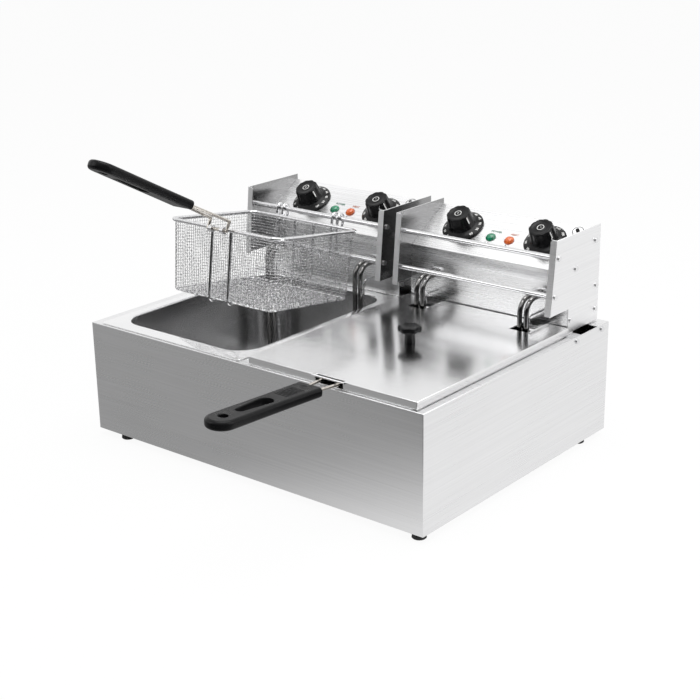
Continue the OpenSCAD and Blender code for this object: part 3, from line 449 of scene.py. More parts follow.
def softEdges(nodeName, width, look):
    # the node's own mesh, merged and flat faces joined, with a live bevel along its sharp edges
    source = nodes[nodeName]
    shape = bmesh.new()
    shape.from_mesh(source.data)
    bmesh.ops.remove_doubles(shape, verts=shape.verts, dist=look["merge"])
    flat = math.radians(look["flat"])
    bmesh.ops.dissolve_limit(shape, angle_limit=flat, verts=shape.verts, edges=shape.edges)
    mesh = bpy.data.meshes.new(nodeName + "_soft")
    shape.to_mesh(mesh)
    shape.free()
    mesh.shade_smooth()
    mesh.set_sharp_from_angle(angle=math.radians(look["sharp"]))
    piece = linked(nodeName + "_soft", mesh, source["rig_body"], finishOf(nodeName))
    bevel = piece.modifiers.new("edge", "BEVEL")
    bevel.width = width
    bevel.segments = look["segments"]
    bevel.limit_method = "ANGLE"
    bevel.angle_limit = math.radians(look["sharp"])
    bevel.use_clamp_overlap = False
    bevel.harden_normals = False
    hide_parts(nodeName)


for nodeName, width in sheetEdges.items():
    softEdges(nodeName, width * mm, sheetLook)
print("folded sheets softened:", len(sheetEdges))

# ---------- drawn tanks ----------

tankLook = dict(rimWide=252, rimLong=343, rimFront=4, rimCorner=5, wellWide=224, wellLong=291,
                wellFront=23, depth=130, corner=34, floorRound=14, fold=3.2, sheet=1.2, top=162.2,
                rimRound=((0.0, 0.35), (0.1, 0.1), (0.4, 0.0)), cells=(12, 16, 14))


def roundOutline(sideCells, endCells, cornerCells, half=1):
    # samples round a rectangle: a centre (cx, cy) in -1..1 and the normal's angle, so that
    # point = centre + r (cos, sin)
    cx, cy, angle = [], [], []
    corners = ((-1, -1), (1, -1), (1, 1), (-1, 1))
    for k, cells in enumerate((sideCells, endCells, sideCells, endCells)):
        x0, y0 = corners[k]
        x1, y1 = corners[(k + 1) % 4]
        t = np.arange(cells * half) / (cells * half)
        cx.append(x0 + (x1 - x0) * t)
        cy.append(y0 + (y1 - y0) * t)
        angle.append(np.full(len(t), -90.0 + 90 * k))
        t = np.arange(cornerCells * half) / (cornerCells * half)
        cx.append(np.full(len(t), float(x1)))
        cy.append(np.full(len(t), float(y1)))
        angle.append(-90.0 + 90 * k + 90 * t)
    return np.concatenate(cx), np.concatenate(cy), np.radians(np.concatenate(angle))


def tankRows(d):
    # rim edge, rim, fold (a quarter of radius f), wall, floor fillet of radius q, floor; each row is a
    # rounded rectangle: half widths a and b, corner r, middle y and height z
    a, b, r = d.wellWide / 2, d.wellLong / 2, d.corner
    mid = d.rimFront + d.wellFront + b
    rimMid = d.rimFront + d.rimLong / 2
    top, f, q = d.top, d.fold, d.floorRound
    low = top - d.depth
    rimA, rimB, rimR = d.rimWide / 2, d.rimLong / 2, d.rimCorner
    rows = [(rimA - inset, rimB - inset, rimR - inset, rimMid, top - drop)
            for inset, drop in d.rimRound]
    rows.append((a + f + 0.4, b + f + 0.4, r + f + 0.4, mid, top))
    for t in np.radians(np.linspace(0, 90, 8)):
        out = f * (1 - math.sin(t))
        rows.append((a + out, b + out, r + out, mid, top - f * (1 - math.cos(t))))
    rows += [(a, b, r, mid, z) for z in np.linspace(top - f, low + q, 6)[1:-1]]
    for t in np.radians(np.linspace(0, 90, 9)):
        inset = q * (1 - math.cos(t))
        rows.append((a - inset, b - inset, r - inset, mid, low + q * (1 - math.sin(t))))
    rows += [((a - q) * k, (b - q) * k, (r - q) * k, mid, low) for k in (0.75, 0.5, 0.25, 0.02)]
    return rows, np.array([0.0, mid, low])


def drawnTank(side, look):
    # the rows as rings, closed by the floor's middle point, turned face up and given the sheet's thickness
    d = SimpleNamespace(**look)
    cx, cy, angle = roundOutline(*d.cells)
    rows, middle = tankRows(d)
    cosine, sine = np.cos(angle), np.sin(angle)
    grid = [np.stack([cx * (a - r) + r * cosine, y + cy * (b - r) + r * sine, 0 * cx + z], -1)
            for a, b, r, y, z in rows]
    grid.append(np.tile(middle, (len(cx), 1)))
    points = np.array(grid) * mm + np.array([unitX[side], frontY, 0])
    faces = gridFaces(len(grid), len(cx), closeColumns=True)[:, ::-1]
    node = "tank_" + side
    piece = addPiece("drawnTank_" + side, points, faces, node, slotOf[node], finishOf(node), replaces=node)
    shape = bmesh.new()
    shape.from_mesh(piece.data)
    bmesh.ops.remove_doubles(shape, verts=shape.verts, dist=1e-6)
    shape.faces.ensure_lookup_table()
    shape.normal_update()
    if max(shape.faces, key=lambda face: face.calc_area()).normal.z < 0:
        bmesh.ops.reverse_faces(shape, faces=shape.faces)
    shape.to_mesh(piece.data)
    shape.free()
    piece.data.shade_smooth()
    wall = piece.modifiers.new("wall", "SOLIDIFY")
    wall.thickness = d.sheet * mm
    wall.offset = -1


for side in unitX:
    drawnTank(side, tankLook)
print("tanks drawn")

# ---------- baskets ----------

basketLook = dict(wide=201, long=168, high=100, taper=12, rimWire=5, frameWire=4, bend=14, bottomRound=3,
                  barAhead=9, wire=0.66, weave=0.34, across=46, along=38, down=23, cornerCells=5, sides=4,
                  seam=1.1, seamSides=8, underRim=0.2, overFloor=0.1, cornerInset=1.0, endGap=2.0)


def hinged(side):
    # at the middle of the handle's hinge bar, leaned as the basket's lift axis leans
    lean = joints[f"basket_{side}_lift"]["axis"]
    turn = Matrix.Rotation(-math.atan2(lean[1], lean[2]), 4, "X")
    return Matrix.Translation(joints[f"handle_{side}_swing"]["pos_m"]) @ turn


def hung(side, look):
    # the same at the middle of the basket's rear rim, from which its wires are counted
    return hinged(side) @ Matrix.Translation((0, (look["long"] + look["barAhead"]) * mm, 0))


def meshSizes(look):
    # the table's values and what follows: half widths (at a height, and b), corner radius r, end heights
    d = SimpleNamespace(**look)
    d.r, d.q = d.bend - d.cornerInset, d.bottomRound
    d.b = d.long / 2 - d.frameWire / 2 - d.wire
    d.zTop = -d.rimWire / 2 - d.underRim
    d.zLow = -d.high + d.frameWire / 2 + d.wire + d.overFloor
    d.stepZ = (d.zTop - (d.zLow + d.q)) / d.down
    d.middle = -d.long / 2
    aTop, slope = d.wide / 2 - d.rimWire / 2 - d.wire, d.taper / 2 / d.high
    d.halfWide = lambda z: aTop + (z - d.zTop) * slope
    return d


def wires(paths, normals, d):
    return sweepTubes(paths, np.broadcast_to(normals, paths.shape), d.wire / 2, d.sides)


def meshRings(d):
    # level wires: rounded rectangles that narrow downwards, then the rolled seam round the floor's edge
    cx, cy, angle = roundOutline(d.across, d.along, d.cornerCells, 2)
    crossing = np.arange(len(cx)) / 2
    number = np.arange(d.down + 1)
    heights = d.zTop - number * d.stepZ
    sway = -d.weave * np.cos(np.pi * (crossing[None, :] + number[:, None]))
    a = d.halfWide(heights)[:, None]
    ring = np.stack([cx * (a - d.r) + (d.r + sway) * np.cos(angle),
                     d.middle + cy * (d.b - d.r) + (d.r + sway) * np.sin(angle),
                     np.broadcast_to(heights[:, None], sway.shape)], -1)
    outward = np.stack([np.cos(angle), np.sin(angle), 0 * angle], -1)
    rings = sweepTubes(ring, np.broadcast_to(outward, ring.shape), d.wire / 2, d.sides, closed=True)
    low = d.zLow + d.seam
    reach = d.halfWide(low) - d.seam
    seam = np.stack([cx * (reach - d.r) + d.r * np.cos(angle),
                     d.middle + cy * (d.b - d.seam - d.r) + d.r * np.sin(angle), 0 * cx + low], -1)[None]
    return [rings, sweepTubes(seam, outward[None], d.seam, d.seamSides, closed=True)]


def wallFloorWall(d, halfFloor, cells, index, acrossX):
    # down one wall, over the floor and up the other; every wire is moved along the surface normal by
    # weave * cos(pi * crossing), opposite for neighbours; the normal's two parts come last
    phase = np.arange(2 * d.down + 1) / 2
    zWall = d.zTop - phase * d.stepZ
    turn = np.radians(np.array([22.5, 45.0, 67.5]))
    cut = halfFloor - d.r
    floor = np.arange(-2, 2 * cells + 3) / 2
    onFloor = -cut + floor * 2 * cut / cells
    keep = np.abs(onFloor) < halfFloor - d.q
    onFloor, floor = onFloor[keep], floor[keep]
    round1, round2 = d.q * (1 - np.cos(turn)), d.zLow + d.q - d.q * np.sin(turn)
    still, ends = np.zeros(len(onFloor)), np.ones(len(zWall))
    zs = np.concatenate([zWall, round2, still + d.zLow, round2[::-1], zWall[::-1]])
    inset = np.concatenate([0 * zWall, round1, still, round1[::-1], 0 * zWall])
    place = np.concatenate([-ends, -np.ones(3), still, np.ones(3), ends])
    bend = np.full(3, phase[-1] + 0.5)
    count = np.concatenate([phase, bend, floor, bend, phase[::-1]])
    sideways = np.concatenate([ends, np.cos(turn), still, np.cos(turn)[::-1], ends])
    downward = chord(1, sideways)
    middlePart = np.concatenate([0 * zWall, np.zeros(3), onFloor, np.zeros(3), 0 * zWall])
    wide = (d.halfWide(zs) if acrossX else np.full(len(zs), d.b)) - inset
    main = np.where(place == 0, middlePart, place * wide)
    swing = d.weave * np.cos(np.pi * (count[None, :] + index[:, None]))
    main = main[None, :] + swing * (place * sideways)[None, :]
    return main, zs[None, :] - swing * downward[None, :], zs, place * sideways, -downward


def longWires(d):
    # the straight wires of walls and floor, lengthwise and across
    index = np.arange(d.across + 1)
    main, upward, zs, n1, n2 = wallFloorWall(d, d.b, d.along, index, False)
    x = (2 * index / d.across - 1)[:, None] * (d.halfWide(zs) - d.r)[None, :]
    lengthwise = wires(np.stack([x, d.middle + main, upward], -1), np.stack([0 * n1, n1, n2], -1), d)
    index = np.arange(d.along + 1)
    main, upward, zs, n1, n2 = wallFloorWall(d, d.halfWide(d.zLow), d.across, index + 1, True)
    y = d.middle + (2 * index / d.along - 1)[:, None] * (d.b - d.r) + 0 * zs[None, :]
    return [lengthwise, wires(np.stack([main, y, upward], -1), np.stack([n1, 0 * n1, n2], -1), d)]


def cornerWires(d):
    # upright wires in the round corners, bent in at the floor
    phase = np.arange(2 * d.down + 1) / 2
    turn = np.radians(np.array([30.0, 60.0, 90.0]))
    zs = np.concatenate([d.zTop - phase * d.stepZ, d.zLow + d.q - d.q * np.sin(turn)])
    inset = np.concatenate([0 * phase, d.q * (1 - np.cos(turn))])
    count = np.concatenate([phase, phase[-1] + np.array([0.5, 1.0, 1.5])])
    k = np.arange(1, d.cornerCells)
    angles = np.radians((-90 + 90 * np.arange(4)[:, None] + 90 * k[None, :] / d.cornerCells).ravel())
    signX = np.repeat([1.0, 1.0, -1.0, -1.0], len(k))
    signY = np.repeat([-1.0, 1.0, 1.0, -1.0], len(k))
    number = np.tile(k, 4) + np.repeat([d.across, d.across + d.along, 0, d.along], len(k))
    swing = d.weave * np.cos(np.pi * (count[None, :] + number[:, None]))
    reach = d.r - inset[None, :] + swing
    paths = np.stack([signX[:, None] * (d.halfWide(zs) - d.r)[None, :] + reach * np.cos(angles)[:, None],
                      d.middle + signY[:, None] * (d.b - d.r) + reach * np.sin(angles)[:, None],
                      np.broadcast_to(zs, reach.shape)], -1)
    return wires(paths, np.stack([np.cos(angles), np.sin(angles), 0 * angles], -1)[:, None, :], d)


def floorEnds(d, lengthwise):
    # short floor wires beyond the straight part, ending a little before the round corners
    lowWide = d.halfWide(d.zLow)
    half, other, cells, pitches = ((lowWide, d.b, d.along, d.across) if lengthwise
                                   else (d.b, lowWide, d.across, d.along))
    gaps = np.arange(1, 3) * 2 * (half - d.r) / pitches
    offsets = np.concatenate([half - d.r + gaps, -(half - d.r + gaps)])
    reach = other - d.r + chord(d.r, np.tile(gaps, 2)) - d.endGap
    main = reach[:, None] * np.linspace(-1, 1, 2 * cells + 1)[None, :]
    swing = -d.weave * np.cos(np.pi * np.arange(2 * cells + 1) / 2)[None, :] + 0 * main
    fixed = offsets[:, None] + 0 * main
    x, y = (fixed, main) if lengthwise else (main, fixed)
    return wires(np.stack([x, d.middle + y, d.zLow + swing], -1), np.array([0.0, 0.0, -1.0]), d)


def wovenBasket(side, look):
    d = meshSizes(look)
    upright = longWires(d) + [cornerWires(d), floorEnds(d, True), floorEnds(d, False)]
    for name, parts in (("wovenRings_", meshRings(d)), ("wovenWires_", upright)):
        points, faces = joined(parts)
        points = placed(points * mm, hung(side, look))
        addPiece(name + side, points, faces, "basket_" + side, "woven_mesh", replaces="basket_mesh_" + side)


for side in unitX:
    wovenBasket(side, basketLook)
print("baskets woven")

# ---------- grips ----------

gripShape = dict(long=166, wide=38, thick=12, edge=4.5, near=3.0, nearThin=2.5, waist=0.45, slotStart=68,
                 slotEnd=124, slotWide=19, slotNarrow=11, holeAt=145, hole=12, openingRound=1.3,
                 grooveFrom=22.0, grooves=9, groovePitch=3.5, grooveWide=1.7, grooveDeep=0.9,
                 grooveReach=10.0, dimpleAt=12.5, dimple=4.6, dimpleDeep=0.8, rise=13.546, wireLong=72,
                 pitch=dict(left=20.0, right=3.0), arcSteps=7, flatSteps=12, roundSteps=4)


def spaced(start, end, count):
    # closer together at both ends: start + (end - start) (1 - cos(pi t)) / 2
    return start + (end - start) * (1 - np.cos(np.pi * np.linspace(0, 1, count))) / 2


def gripStations(d):
    # distances along the grip, close together at the near end, grooves, slot, hole and tip
    half = d.wide / 2
    tip = d.long - half
    holeStart, holeEnd = d.holeAt - d.hole / 2, d.holeAt + d.hole / 2
    grooveEnd = d.grooveFrom + d.grooves * d.groovePitch
    beyondHole = math.asin((holeEnd - tip) / half) if holeEnd > tip else 0
    stations = np.concatenate([
        spaced(0, d.near * 2, 12)[:-1],
        np.linspace(d.near * 2, d.grooveFrom, 30)[:-1],
        np.linspace(d.grooveFrom, grooveEnd, 72)[:-1],
        np.linspace(grooveEnd, d.slotStart, 5)[:-1],
        spaced(d.slotStart, d.slotEnd, 60)[:-1],
        np.linspace(d.slotEnd, holeStart, 12)[:-1],
        spaced(holeStart, holeEnd, 20)[:-1],
        tip + half * np.sin(np.linspace(beyondHole, np.pi / 2, 30))])
    return np.unique(np.round(np.clip(stations, 0, d.long), 5))


def gripOpening(s, d):
    # half width of the tapered slot with its round ends and of the round hole; 0 where the grip is whole
    rWide, rNarrow, rHole = d.slotWide / 2, d.slotNarrow / 2, d.hole / 2
    wideAt, narrowAt = d.slotStart + rWide, d.slotEnd - rNarrow
    inner = np.zeros_like(s)
    lower = (s >= d.slotStart) & (s <= wideAt)
    inner[lower] = chord(rWide, s[lower] - wideAt)
    between = (s > wideAt) & (s < narrowAt)
    inner[between] = rWide + (rNarrow - rWide) * (s[between] - wideAt) / (narrowAt - wideAt)
    upper = (s >= narrowAt) & (s <= d.slotEnd)
    inner[upper] = chord(rNarrow, s[upper] - narrowAt)
    ring = np.abs(s - d.holeAt) <= rHole
    inner[ring] = chord(rHole, s[ring] - d.holeAt)
    inner[inner < 0.02] = 0
    return inner


def gripSection(s, inner, d):
    # half a section at each station, from the opening over the top, round the outer edge and back under it:
    # rows of distance across, height, and 1 on the flat of the top
    half, thick, edge = d.wide / 2, d.thick / 2, d.edge
    beyond = np.maximum(s - (d.long - half), 0)
    nearT = np.clip(s / d.near, 0, 1)
    nearFall = d.near * (1 - chord(1, 1 - nearT))
    nearThin = d.nearThin * (1 - chord(1, 1 - np.clip(s / d.nearThin, 0, 1)))
    waist = d.waist * np.sin(np.pi * np.clip((s - 10) / 120, 0, 1)) * (beyond == 0)
    turnMax = np.arccos(np.clip((beyond - (half - edge)) / edge, -1, 1))
    turnMax = np.where(beyond > half - edge, turnMax, np.pi / 2)
    innerRound = np.minimum(d.openingRound, inner * 0.6)
    start = inner + innerRound

    def edgePoint(turn):
        width = chord(half - edge * (1 - np.cos(turn)), beyond) - nearFall - waist
        return np.maximum(np.maximum(width, 0), start), thick - edge + edge * np.sin(turn) - nearThin

    edgeTop, topZ = edgePoint(turnMax)
    rows = [(start + (edgeTop - start) * k, topZ, 1.0) for k in np.linspace(0, 1, d.flatSteps)]
    rows += [(*edgePoint(turnMax * k), 0.0) for k in np.linspace(1, 0, d.arcSteps)[1:]]
    for k in np.linspace(0, 1, d.arcSteps)[1:]:
        width, z = edgePoint(turnMax * k)
        rows.append((width, -z, 0.0))
    rows += [(start + (edgeTop - start) * k, -topZ, 0.0) for k in np.linspace(1, 0, d.flatSteps)[1:]]
    for t in np.linspace(0, 1, d.roundSteps)[1:] * math.pi / 2:
        rows.append((start - innerRound * math.sin(t), -topZ + innerRound * (1 - math.cos(t)), 0.0))
    for t in np.linspace(1, 0, d.roundSteps)[:-1] * math.pi / 2:
        rows.append((start - innerRound * math.sin(t), topZ - innerRound * (1 - math.cos(t)), 0.0))
    across, height, onTop = zip(*rows)
    return np.array(across), np.array(height), np.array(onTop)[:, None]


def gripRelief(s, across, d):
    # how far the top sinks: grooves (1 - (2 d / width)^2) that fade out sideways, and a round dimple
    phase = (s - d.grooveFrom) / d.groovePitch
    distance = np.abs(phase - np.floor(phase) - 0.5) * d.groovePitch
    inGrooves = (phase > 0) & (phase < d.grooves)
    groove = np.clip(1 - (2 * distance / d.grooveWide) ** 2, 0, 1) * inGrooves
    sideFade = np.clip((d.grooveReach - across) / 1.2, 0, 1)
    toDimple = np.sqrt((s[None, :] - d.dimpleAt) ** 2 + across ** 2)
    dimple = np.clip(1 - (toDimple / d.dimple) ** 2, 0, 1) ** 0.5
    return d.grooveDeep * groove[None, :] * sideFade + d.dimpleDeep * dimple


def mouldedGrip(side, look):
    # the half section along all stations, mirrored and welded, with a wall only where there is an opening
    d = SimpleNamespace(**look)
    s = gripStations(d)
    inner = gripOpening(s, d)
    across, height, onTop = gripSection(s, inner, d)
    height = height - gripRelief(s, across, d) * onTop
    right = np.stack([across, -d.wireLong - s[None, :] + 0 * across, height + d.rise], -1)
    rowCount, count = across.shape
    faces = gridFaces(rowCount, count, closeRows=True)
    whole = inner == 0
    wallFrom = 2 * d.flatSteps + 2 * (d.arcSteps - 1) - 2
    row, column = faces[:, 0] // count, faces[:, 0] % count
    hidden = (row >= wallFrom) & whole[column] & whole[np.minimum(column + 1, count - 1)]
    faces = faces[~hidden]
    points = np.concatenate([right.reshape(-1, 3), (right * np.array([-1, 1, 1])).reshape(-1, 3)])
    nearEnd = list(np.arange(wallFrom + 1) * count)
    size = rowCount * count
    faceList = faces.tolist() + (faces[:, ::-1] + size).tolist()
    faceList += [nearEnd[::-1], [c + size for c in nearEnd]]
    place = hinged(side) @ Matrix.Rotation(math.radians(-d.pitch[side]), 4, "X")
    addPiece("mouldedGrip_" + side, placed(points * mm, place), faceList, "handle_" + side, "black_grip",
             weld=3e-6, sharp=50, replaces="handle_grip_" + side)


for side in unitX:
    mouldedGrip(side, gripShape)
print("grips moulded")

# ---------- knobs ----------

knobShape = SimpleNamespace(skirt=29.0, skirtLow=0.8, skirtEdge=2.4, neck=20.4, neckHigh=5.4, grip=18.6,
                            crown=16.6, high=26.0, lobes=10, lobeDeep=1.25, bore=3.06, boreDeep=16.3,
                            steps=200, lobeFall=1.6)
panelTilt = math.radians(30)


def knobMatrix(jointName):
    return Matrix.Translation(joints[jointName]["pos_m"]) @ Matrix.Rotation(panelTilt, 4, "X")


def revolve(profile, steps, wobble=None):
    # point = (q cos t, q sin t, z) with q = r - share * wobble(t), for each profile point and turn t
    t = np.arange(steps) * 2 * np.pi / steps
    r = np.array([p[0] for p in profile])[None, :] + 0 * t[:, None]
    z = np.array([p[1] for p in profile])[None, :] + 0 * t[:, None]
    if wobble is not None:
        r = r - np.array([p[2] for p in profile])[None, :] * wobble(t)[:, None]
    points = np.stack([r * np.cos(t)[:, None], r * np.sin(t)[:, None], z], -1)
    return points.reshape(-1, 3), gridFaces(steps, len(profile), closeRows=True).tolist()


def lobed(look):
    # ((1 + cos(lobes t)) / 2) ^ fall
    return lambda t: ((1 + np.cos(look.lobes * t)) / 2) ** look.lobeFall


def dialKnob(name, d):
    # bore, skirt with sloped dial, grip and crown; the lobes fade in above the dial and out on the crown
    deep, skirt, neckHigh, grip, crown = d.lobeDeep, d.skirt, d.neckHigh, d.grip, d.crown
    high, bore, low, edge, neck = d.high, d.bore, d.skirtLow, d.skirtEdge, d.neck
    profile = [(0, d.boreDeep, 0), (bore, d.boreDeep, 0), (bore, low, 0),
               (skirt - 0.3, low, 0), (skirt, low + 0.3, 0), (skirt, edge - 0.4, 0),
               (skirt - 0.4, edge + 0.1, 0), (neck + 1.2, neckHigh - 0.25, 0),
               (neck + 0.2, neckHigh + 0.05, 0),
               (grip + 0.6, neckHigh + 0.5, 0), (grip + 0.1, neckHigh + 1.4, deep * 0.2),
               (grip - 0.1, neckHigh + 2.6, deep * 0.8), (grip - 0.3, neckHigh + 4.0, deep)]
    for k in np.linspace(0.15, 1, 7):
        radius = grip - 0.3 + (crown - grip + 0.3) * k
        profile.append((radius, neckHigh + 4 + (high - 2 - neckHigh - 4) * k, deep))
    for t in np.radians(np.linspace(15, 90, 6)):
        height = high - 2 + 2 * math.sin(t)
        profile.append((crown - 2 + 2 * math.cos(t), height, deep * (1 - 0.5 * math.sin(t))))
    profile += [(crown - 3.2, high, deep * 0.25), (crown - 4.6, high - 0.05, 0),
                (crown - 5.4, high - 0.45, 0), (6.2, high - 0.5, 0), (5.6, high - 0.3, 0),
                (0, high - 0.3, 0)]
    points, faces = revolve(profile, d.steps, lobed(d))
    kind, side = name.split("_knob_")
    points = placed(points * mm, knobMatrix(name + "_turn"))
    addPiece(f"{kind}Knob_{side}", points, faces, name, "black_phenolic", weld=2e-6, sharp=45,
             replaces=name)


def textMesh(words, size, depth=0.05, bold=0.0):
    # words as a mesh, in millimetres, centred on their own middle, a little thick
    curve = bpy.data.curves.new("words", "FONT")
    curve.body = words
    curve.size = size
    curve.extrude = depth
    curve.offset = bold
    curve.align_x = "CENTER"
    curve.align_y = "CENTER"
    curve.resolution_u = 3
    item = bpy.data.objects.new("words", curve)
    bpy.context.scene.collection.objects.link(item)
    bpy.context.view_layer.update()
    mesh = item.to_mesh()
    points = np.zeros(len(mesh.vertices) * 3)
    mesh.vertices.foreach_get("co", points)
    faces = [list(p.vertices) for p in mesh.polygons]
    item.to_mesh_clear()
    bpy.data.objects.remove(item)
    bpy.data.curves.remove(curve)
    return points.reshape(-1, 3), faces


def doubleSheet(top, under, rows, columns):
    # a grid seen from above and its twin seen from below
    faces = gridFaces(rows, columns)
    points = np.concatenate([top.reshape(-1, 3), under.reshape(-1, 3)])
    return points, faces.tolist() + (faces[:, ::-1] + rows * columns).tolist()


def bar(x0, x1, y0, y1, low, high):
    # a plain flat block on a small grid, so that it can follow a curved face
    gx, gy = np.meshgrid(np.linspace(x0, x1, 3), np.linspace(y0, y1, 6), indexing="ij")
    return doubleSheet(np.stack([gx, gy, 0 * gx + high], -1), np.stack([gx, gy, 0 * gx + low], -1), 3, 6)


def annulus(r0, r1, low, high, steps=40):
    return revolve([(r0, low), (r1, low), (r1, high), (r0, high), (r0, low)], steps)


dialMarks = {
    "timer": dict(words=range(0, 65, 5), start=-90.0, step=-25.0, sign="t", signUp=0.4),
    "thermostat": dict(words=(0, 60, 80, 100, 120, 140, 160, 180, 190), start=-90.0, step=-33.0, sign="°",
                       signUp=-1.2),
}
dialLook = SimpleNamespace(size=5.2, bold=0.1, textAt=24.5, tickAt=(21.6, 22.6), tickWide=0.6, lift=0.06,
                           pointerAt=75, pointerWide=1.5, pointerFrom=9, crownSign=6.0,
                           crownRing=(4.1, 4.9))


def coneHeight(r, knob):
    # height of the dial's cone at radius r
    rise = (knob.neckHigh - knob.skirtEdge) / (knob.skirt - knob.neck)
    return knob.skirtEdge + (knob.skirt - r) * rise


def scaleMarks(marks, dial, knob):
    # each word or tick bent round the dial: angle = start + x / radius, height = cone(radius)
    parts = []
    tick, half = dial.tickAt, dial.tickWide / 2
    for i, words in enumerate(marks["words"]):
        angle = math.radians(marks["start"] + marks["step"] * i)
        written, writtenFaces = textMesh(str(words), dial.size, bold=dial.bold)
        line, lineFaces = bar(-half, half, tick[0], tick[1], -0.05, 0.05)
        written = written + np.array([0, dial.textAt, 0])
        for points, faces in ((written, writtenFaces), (line, lineFaces)):
            r = points[:, 1]
            turn = angle - points[:, 0] / np.maximum(r, 1)
            height = coneHeight(r, knob) + dial.lift + points[:, 2]
            parts.append((np.stack([r * np.cos(turn), r * np.sin(turn), height], -1), faces))
    return parts


def pointer(marks, dial, knob):
    # a line up the grip's side
    reach = np.linspace(0, 1, 9)
    foot = knob.grip - 0.3
    low = knob.neckHigh + dial.pointerFrom
    radius = foot + (knob.crown - foot) * reach
    height = low + (knob.high - 2 - low) * reach
    turn = math.radians(marks["start"] + dial.pointerAt)
    outward = np.array([math.cos(turn), math.sin(turn), 0])
    sideways = np.array([-math.sin(turn), math.cos(turn), 0]) * dial.pointerWide / 2
    line = (radius[:, None] + 0.10) * outward + height[:, None] * np.array([0, 0, 1])
    grid = line[:, None, :] + np.array([-1, 0, 1])[None, :, None] * sideways
    return doubleSheet(grid, grid - 0.3 * outward, 9, 3)


def dialPrint(kind, side, dial, knob):
    # scale round the dial, pointer up the grip, ring and sign on the crown
    marks = dialMarks[kind]
    top = knob.high - 0.27
    sign, signFaces = textMesh(marks["sign"], dial.crownSign)
    parts = scaleMarks(marks, dial, knob)
    parts += [pointer(marks, dial, knob), annulus(*dial.crownRing, top - 0.1, top + 0.04),
              (sign + np.array([0, marks["signUp"], top]), signFaces)]
    points, faces = joined(parts)
    points = placed(points * mm, knobMatrix(f"{kind}_knob_{side}_turn"))
    addPiece(f"{kind}Print_{side}", points, faces, f"{kind}_knob_{side}", "black_phenolic", whiteInk)


for side in unitX:
    for kind in ("timer", "thermostat"):
        dialKnob(f"{kind}_knob_{side}", knobShape)
        dialPrint(kind, side, dialLook, knobShape)
print("knobs turned and marked")

lidKnobShape = SimpleNamespace(wide=15.0, high=23.0, cap=8.0, stem=7.0, lobes=6, lobeDeep=2.6, steps=144,
                               lobeFall=1.4)


def starKnob(d):
    # stem, flared foot and lobed cap
    wide, high, stem, deep = d.wide, d.high, d.stem, d.lobeDeep
    low = high - d.cap
    profile = [(0, 0.05, 0), (stem - 0.3, 0.05, 0), (stem, 0.35, 0), (stem - 0.4, low - 2.5, 0),
               (stem + 0.4, low - 0.8, 0), (stem + 2.0, low, 0), (wide - 3, low + 0.2, deep * 0.5)]
    for t in np.radians(np.linspace(-80, 0, 5)):
        profile.append((wide - 1.8 + 1.8 * math.cos(t), low + 2.2 + 2.0 * math.sin(t), deep))
    for t in np.radians(np.linspace(0, 85, 6)):
        profile.append((wide - 2.4 + 2.4 * math.cos(t), high - 2.6 + 2.4 * math.sin(t), deep))
    profile += [(wide - 5, high - 0.15, deep * 0.5), (wide - 8, high - 0.05, 0), (0, high, 0)]
    points, faces = revolve(profile, d.steps, lobed(d))
    boxLow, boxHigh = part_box("lid_knob")
    middle = Vector(((boxLow.x + boxHigh.x) / 2, (boxLow.y + boxHigh.y) / 2, boxLow.z))
    points = placed(points * mm, Matrix.Translation(middle))
    addPiece("starKnob", points, faces, "lid", "black_phenolic", weld=2e-6, sharp=45, replaces="lid_knob")


starKnob(lidKnobShape)
print("lid knob made")

# ---------- print on the panels ----------

panelPrint = SimpleNamespace(
    foot=(frontY + 0.331, 0.2422), wordUp=49.4, size=4.8, bold=0.1, lift=0.12,
    words=(("power", "POWER", -14.0, greenInk), ("heat", "HEAT", 15.0, redInk)),
    signUp=25.5, signX=(-18.7, 11.0), sign=1.35, lampUp=37.5, lampX=(-16.5, 12.5),
    bezel=(5.7, 7.05), lampHigh=1.0, reset=(98.0, 74.0), outline=(6.9, 7.9), collarHigh=2.0)


def shifted(part, x, y, scale=1.0):
    points, faces = part
    return points * np.array([scale, scale, 1]) + np.array([x, y, 0]), faces


def levelSign(d):
    # four upright bars of uneven height
    heights = ((-2.4, 2.0), (-0.8, 3.4), (0.8, 2.6), (2.4, 3.4))
    return [bar(x - 0.42, x + 0.42, -1.6, tall - 1.6, 0.0, d.lift) for x, tall in heights]


def probeSign(d):
    # a leaning stroke with a round end
    points, faces = bar(-0.55, 0.55, -2.2, 2.6, 0.0, d.lift)
    turned = placed(points, Matrix.Rotation(-0.6, 4, "Z"))
    return [(turned, faces), shifted(annulus(0, 1.1, 0.0, d.lift, 20), -1.6, -2.2)]


def panelWords(side, d):
    # words and small signs laid flat on the sloped panel, a dark ring on each lamp's foot and reset collar
    panel = Matrix.Translation((unitX[side], *d.foot)) @ Matrix.Rotation(panelTilt, 4, "X")
    for name, words, x, ink in d.words:
        points, faces = textMesh(words, d.size, 0.02, d.bold)
        points = placed((points + np.array([x, d.wordUp, d.lift])) * mm, panel)
        addPiece(f"{name}Word_{side}", points, faces, "head_" + side, "mirror_sheet", ink)
    parts = []
    for sign, x in zip((levelSign(d), probeSign(d)), d.signX):
        parts += [shifted(part, x, d.signUp, d.sign) for part in sign]
    bezel = annulus(*d.bezel, d.lampHigh - 0.2, d.lampHigh + d.lift)
    parts += [shifted(bezel, x, d.lampUp) for x in d.lampX]
    outline = annulus(*d.outline, d.collarHigh - 0.2, d.collarHigh + 0.05)
    parts.append(shifted(outline, *d.reset))
    points, faces = joined(parts)
    points = placed(points * mm, panel)
    addPiece("panelWords_" + side, points, faces, "head_" + side, "mirror_sheet", darkInk)


for side in unitX:
    panelWords(side, panelPrint)
print("panels printed")

# ---------- stage and light ----------

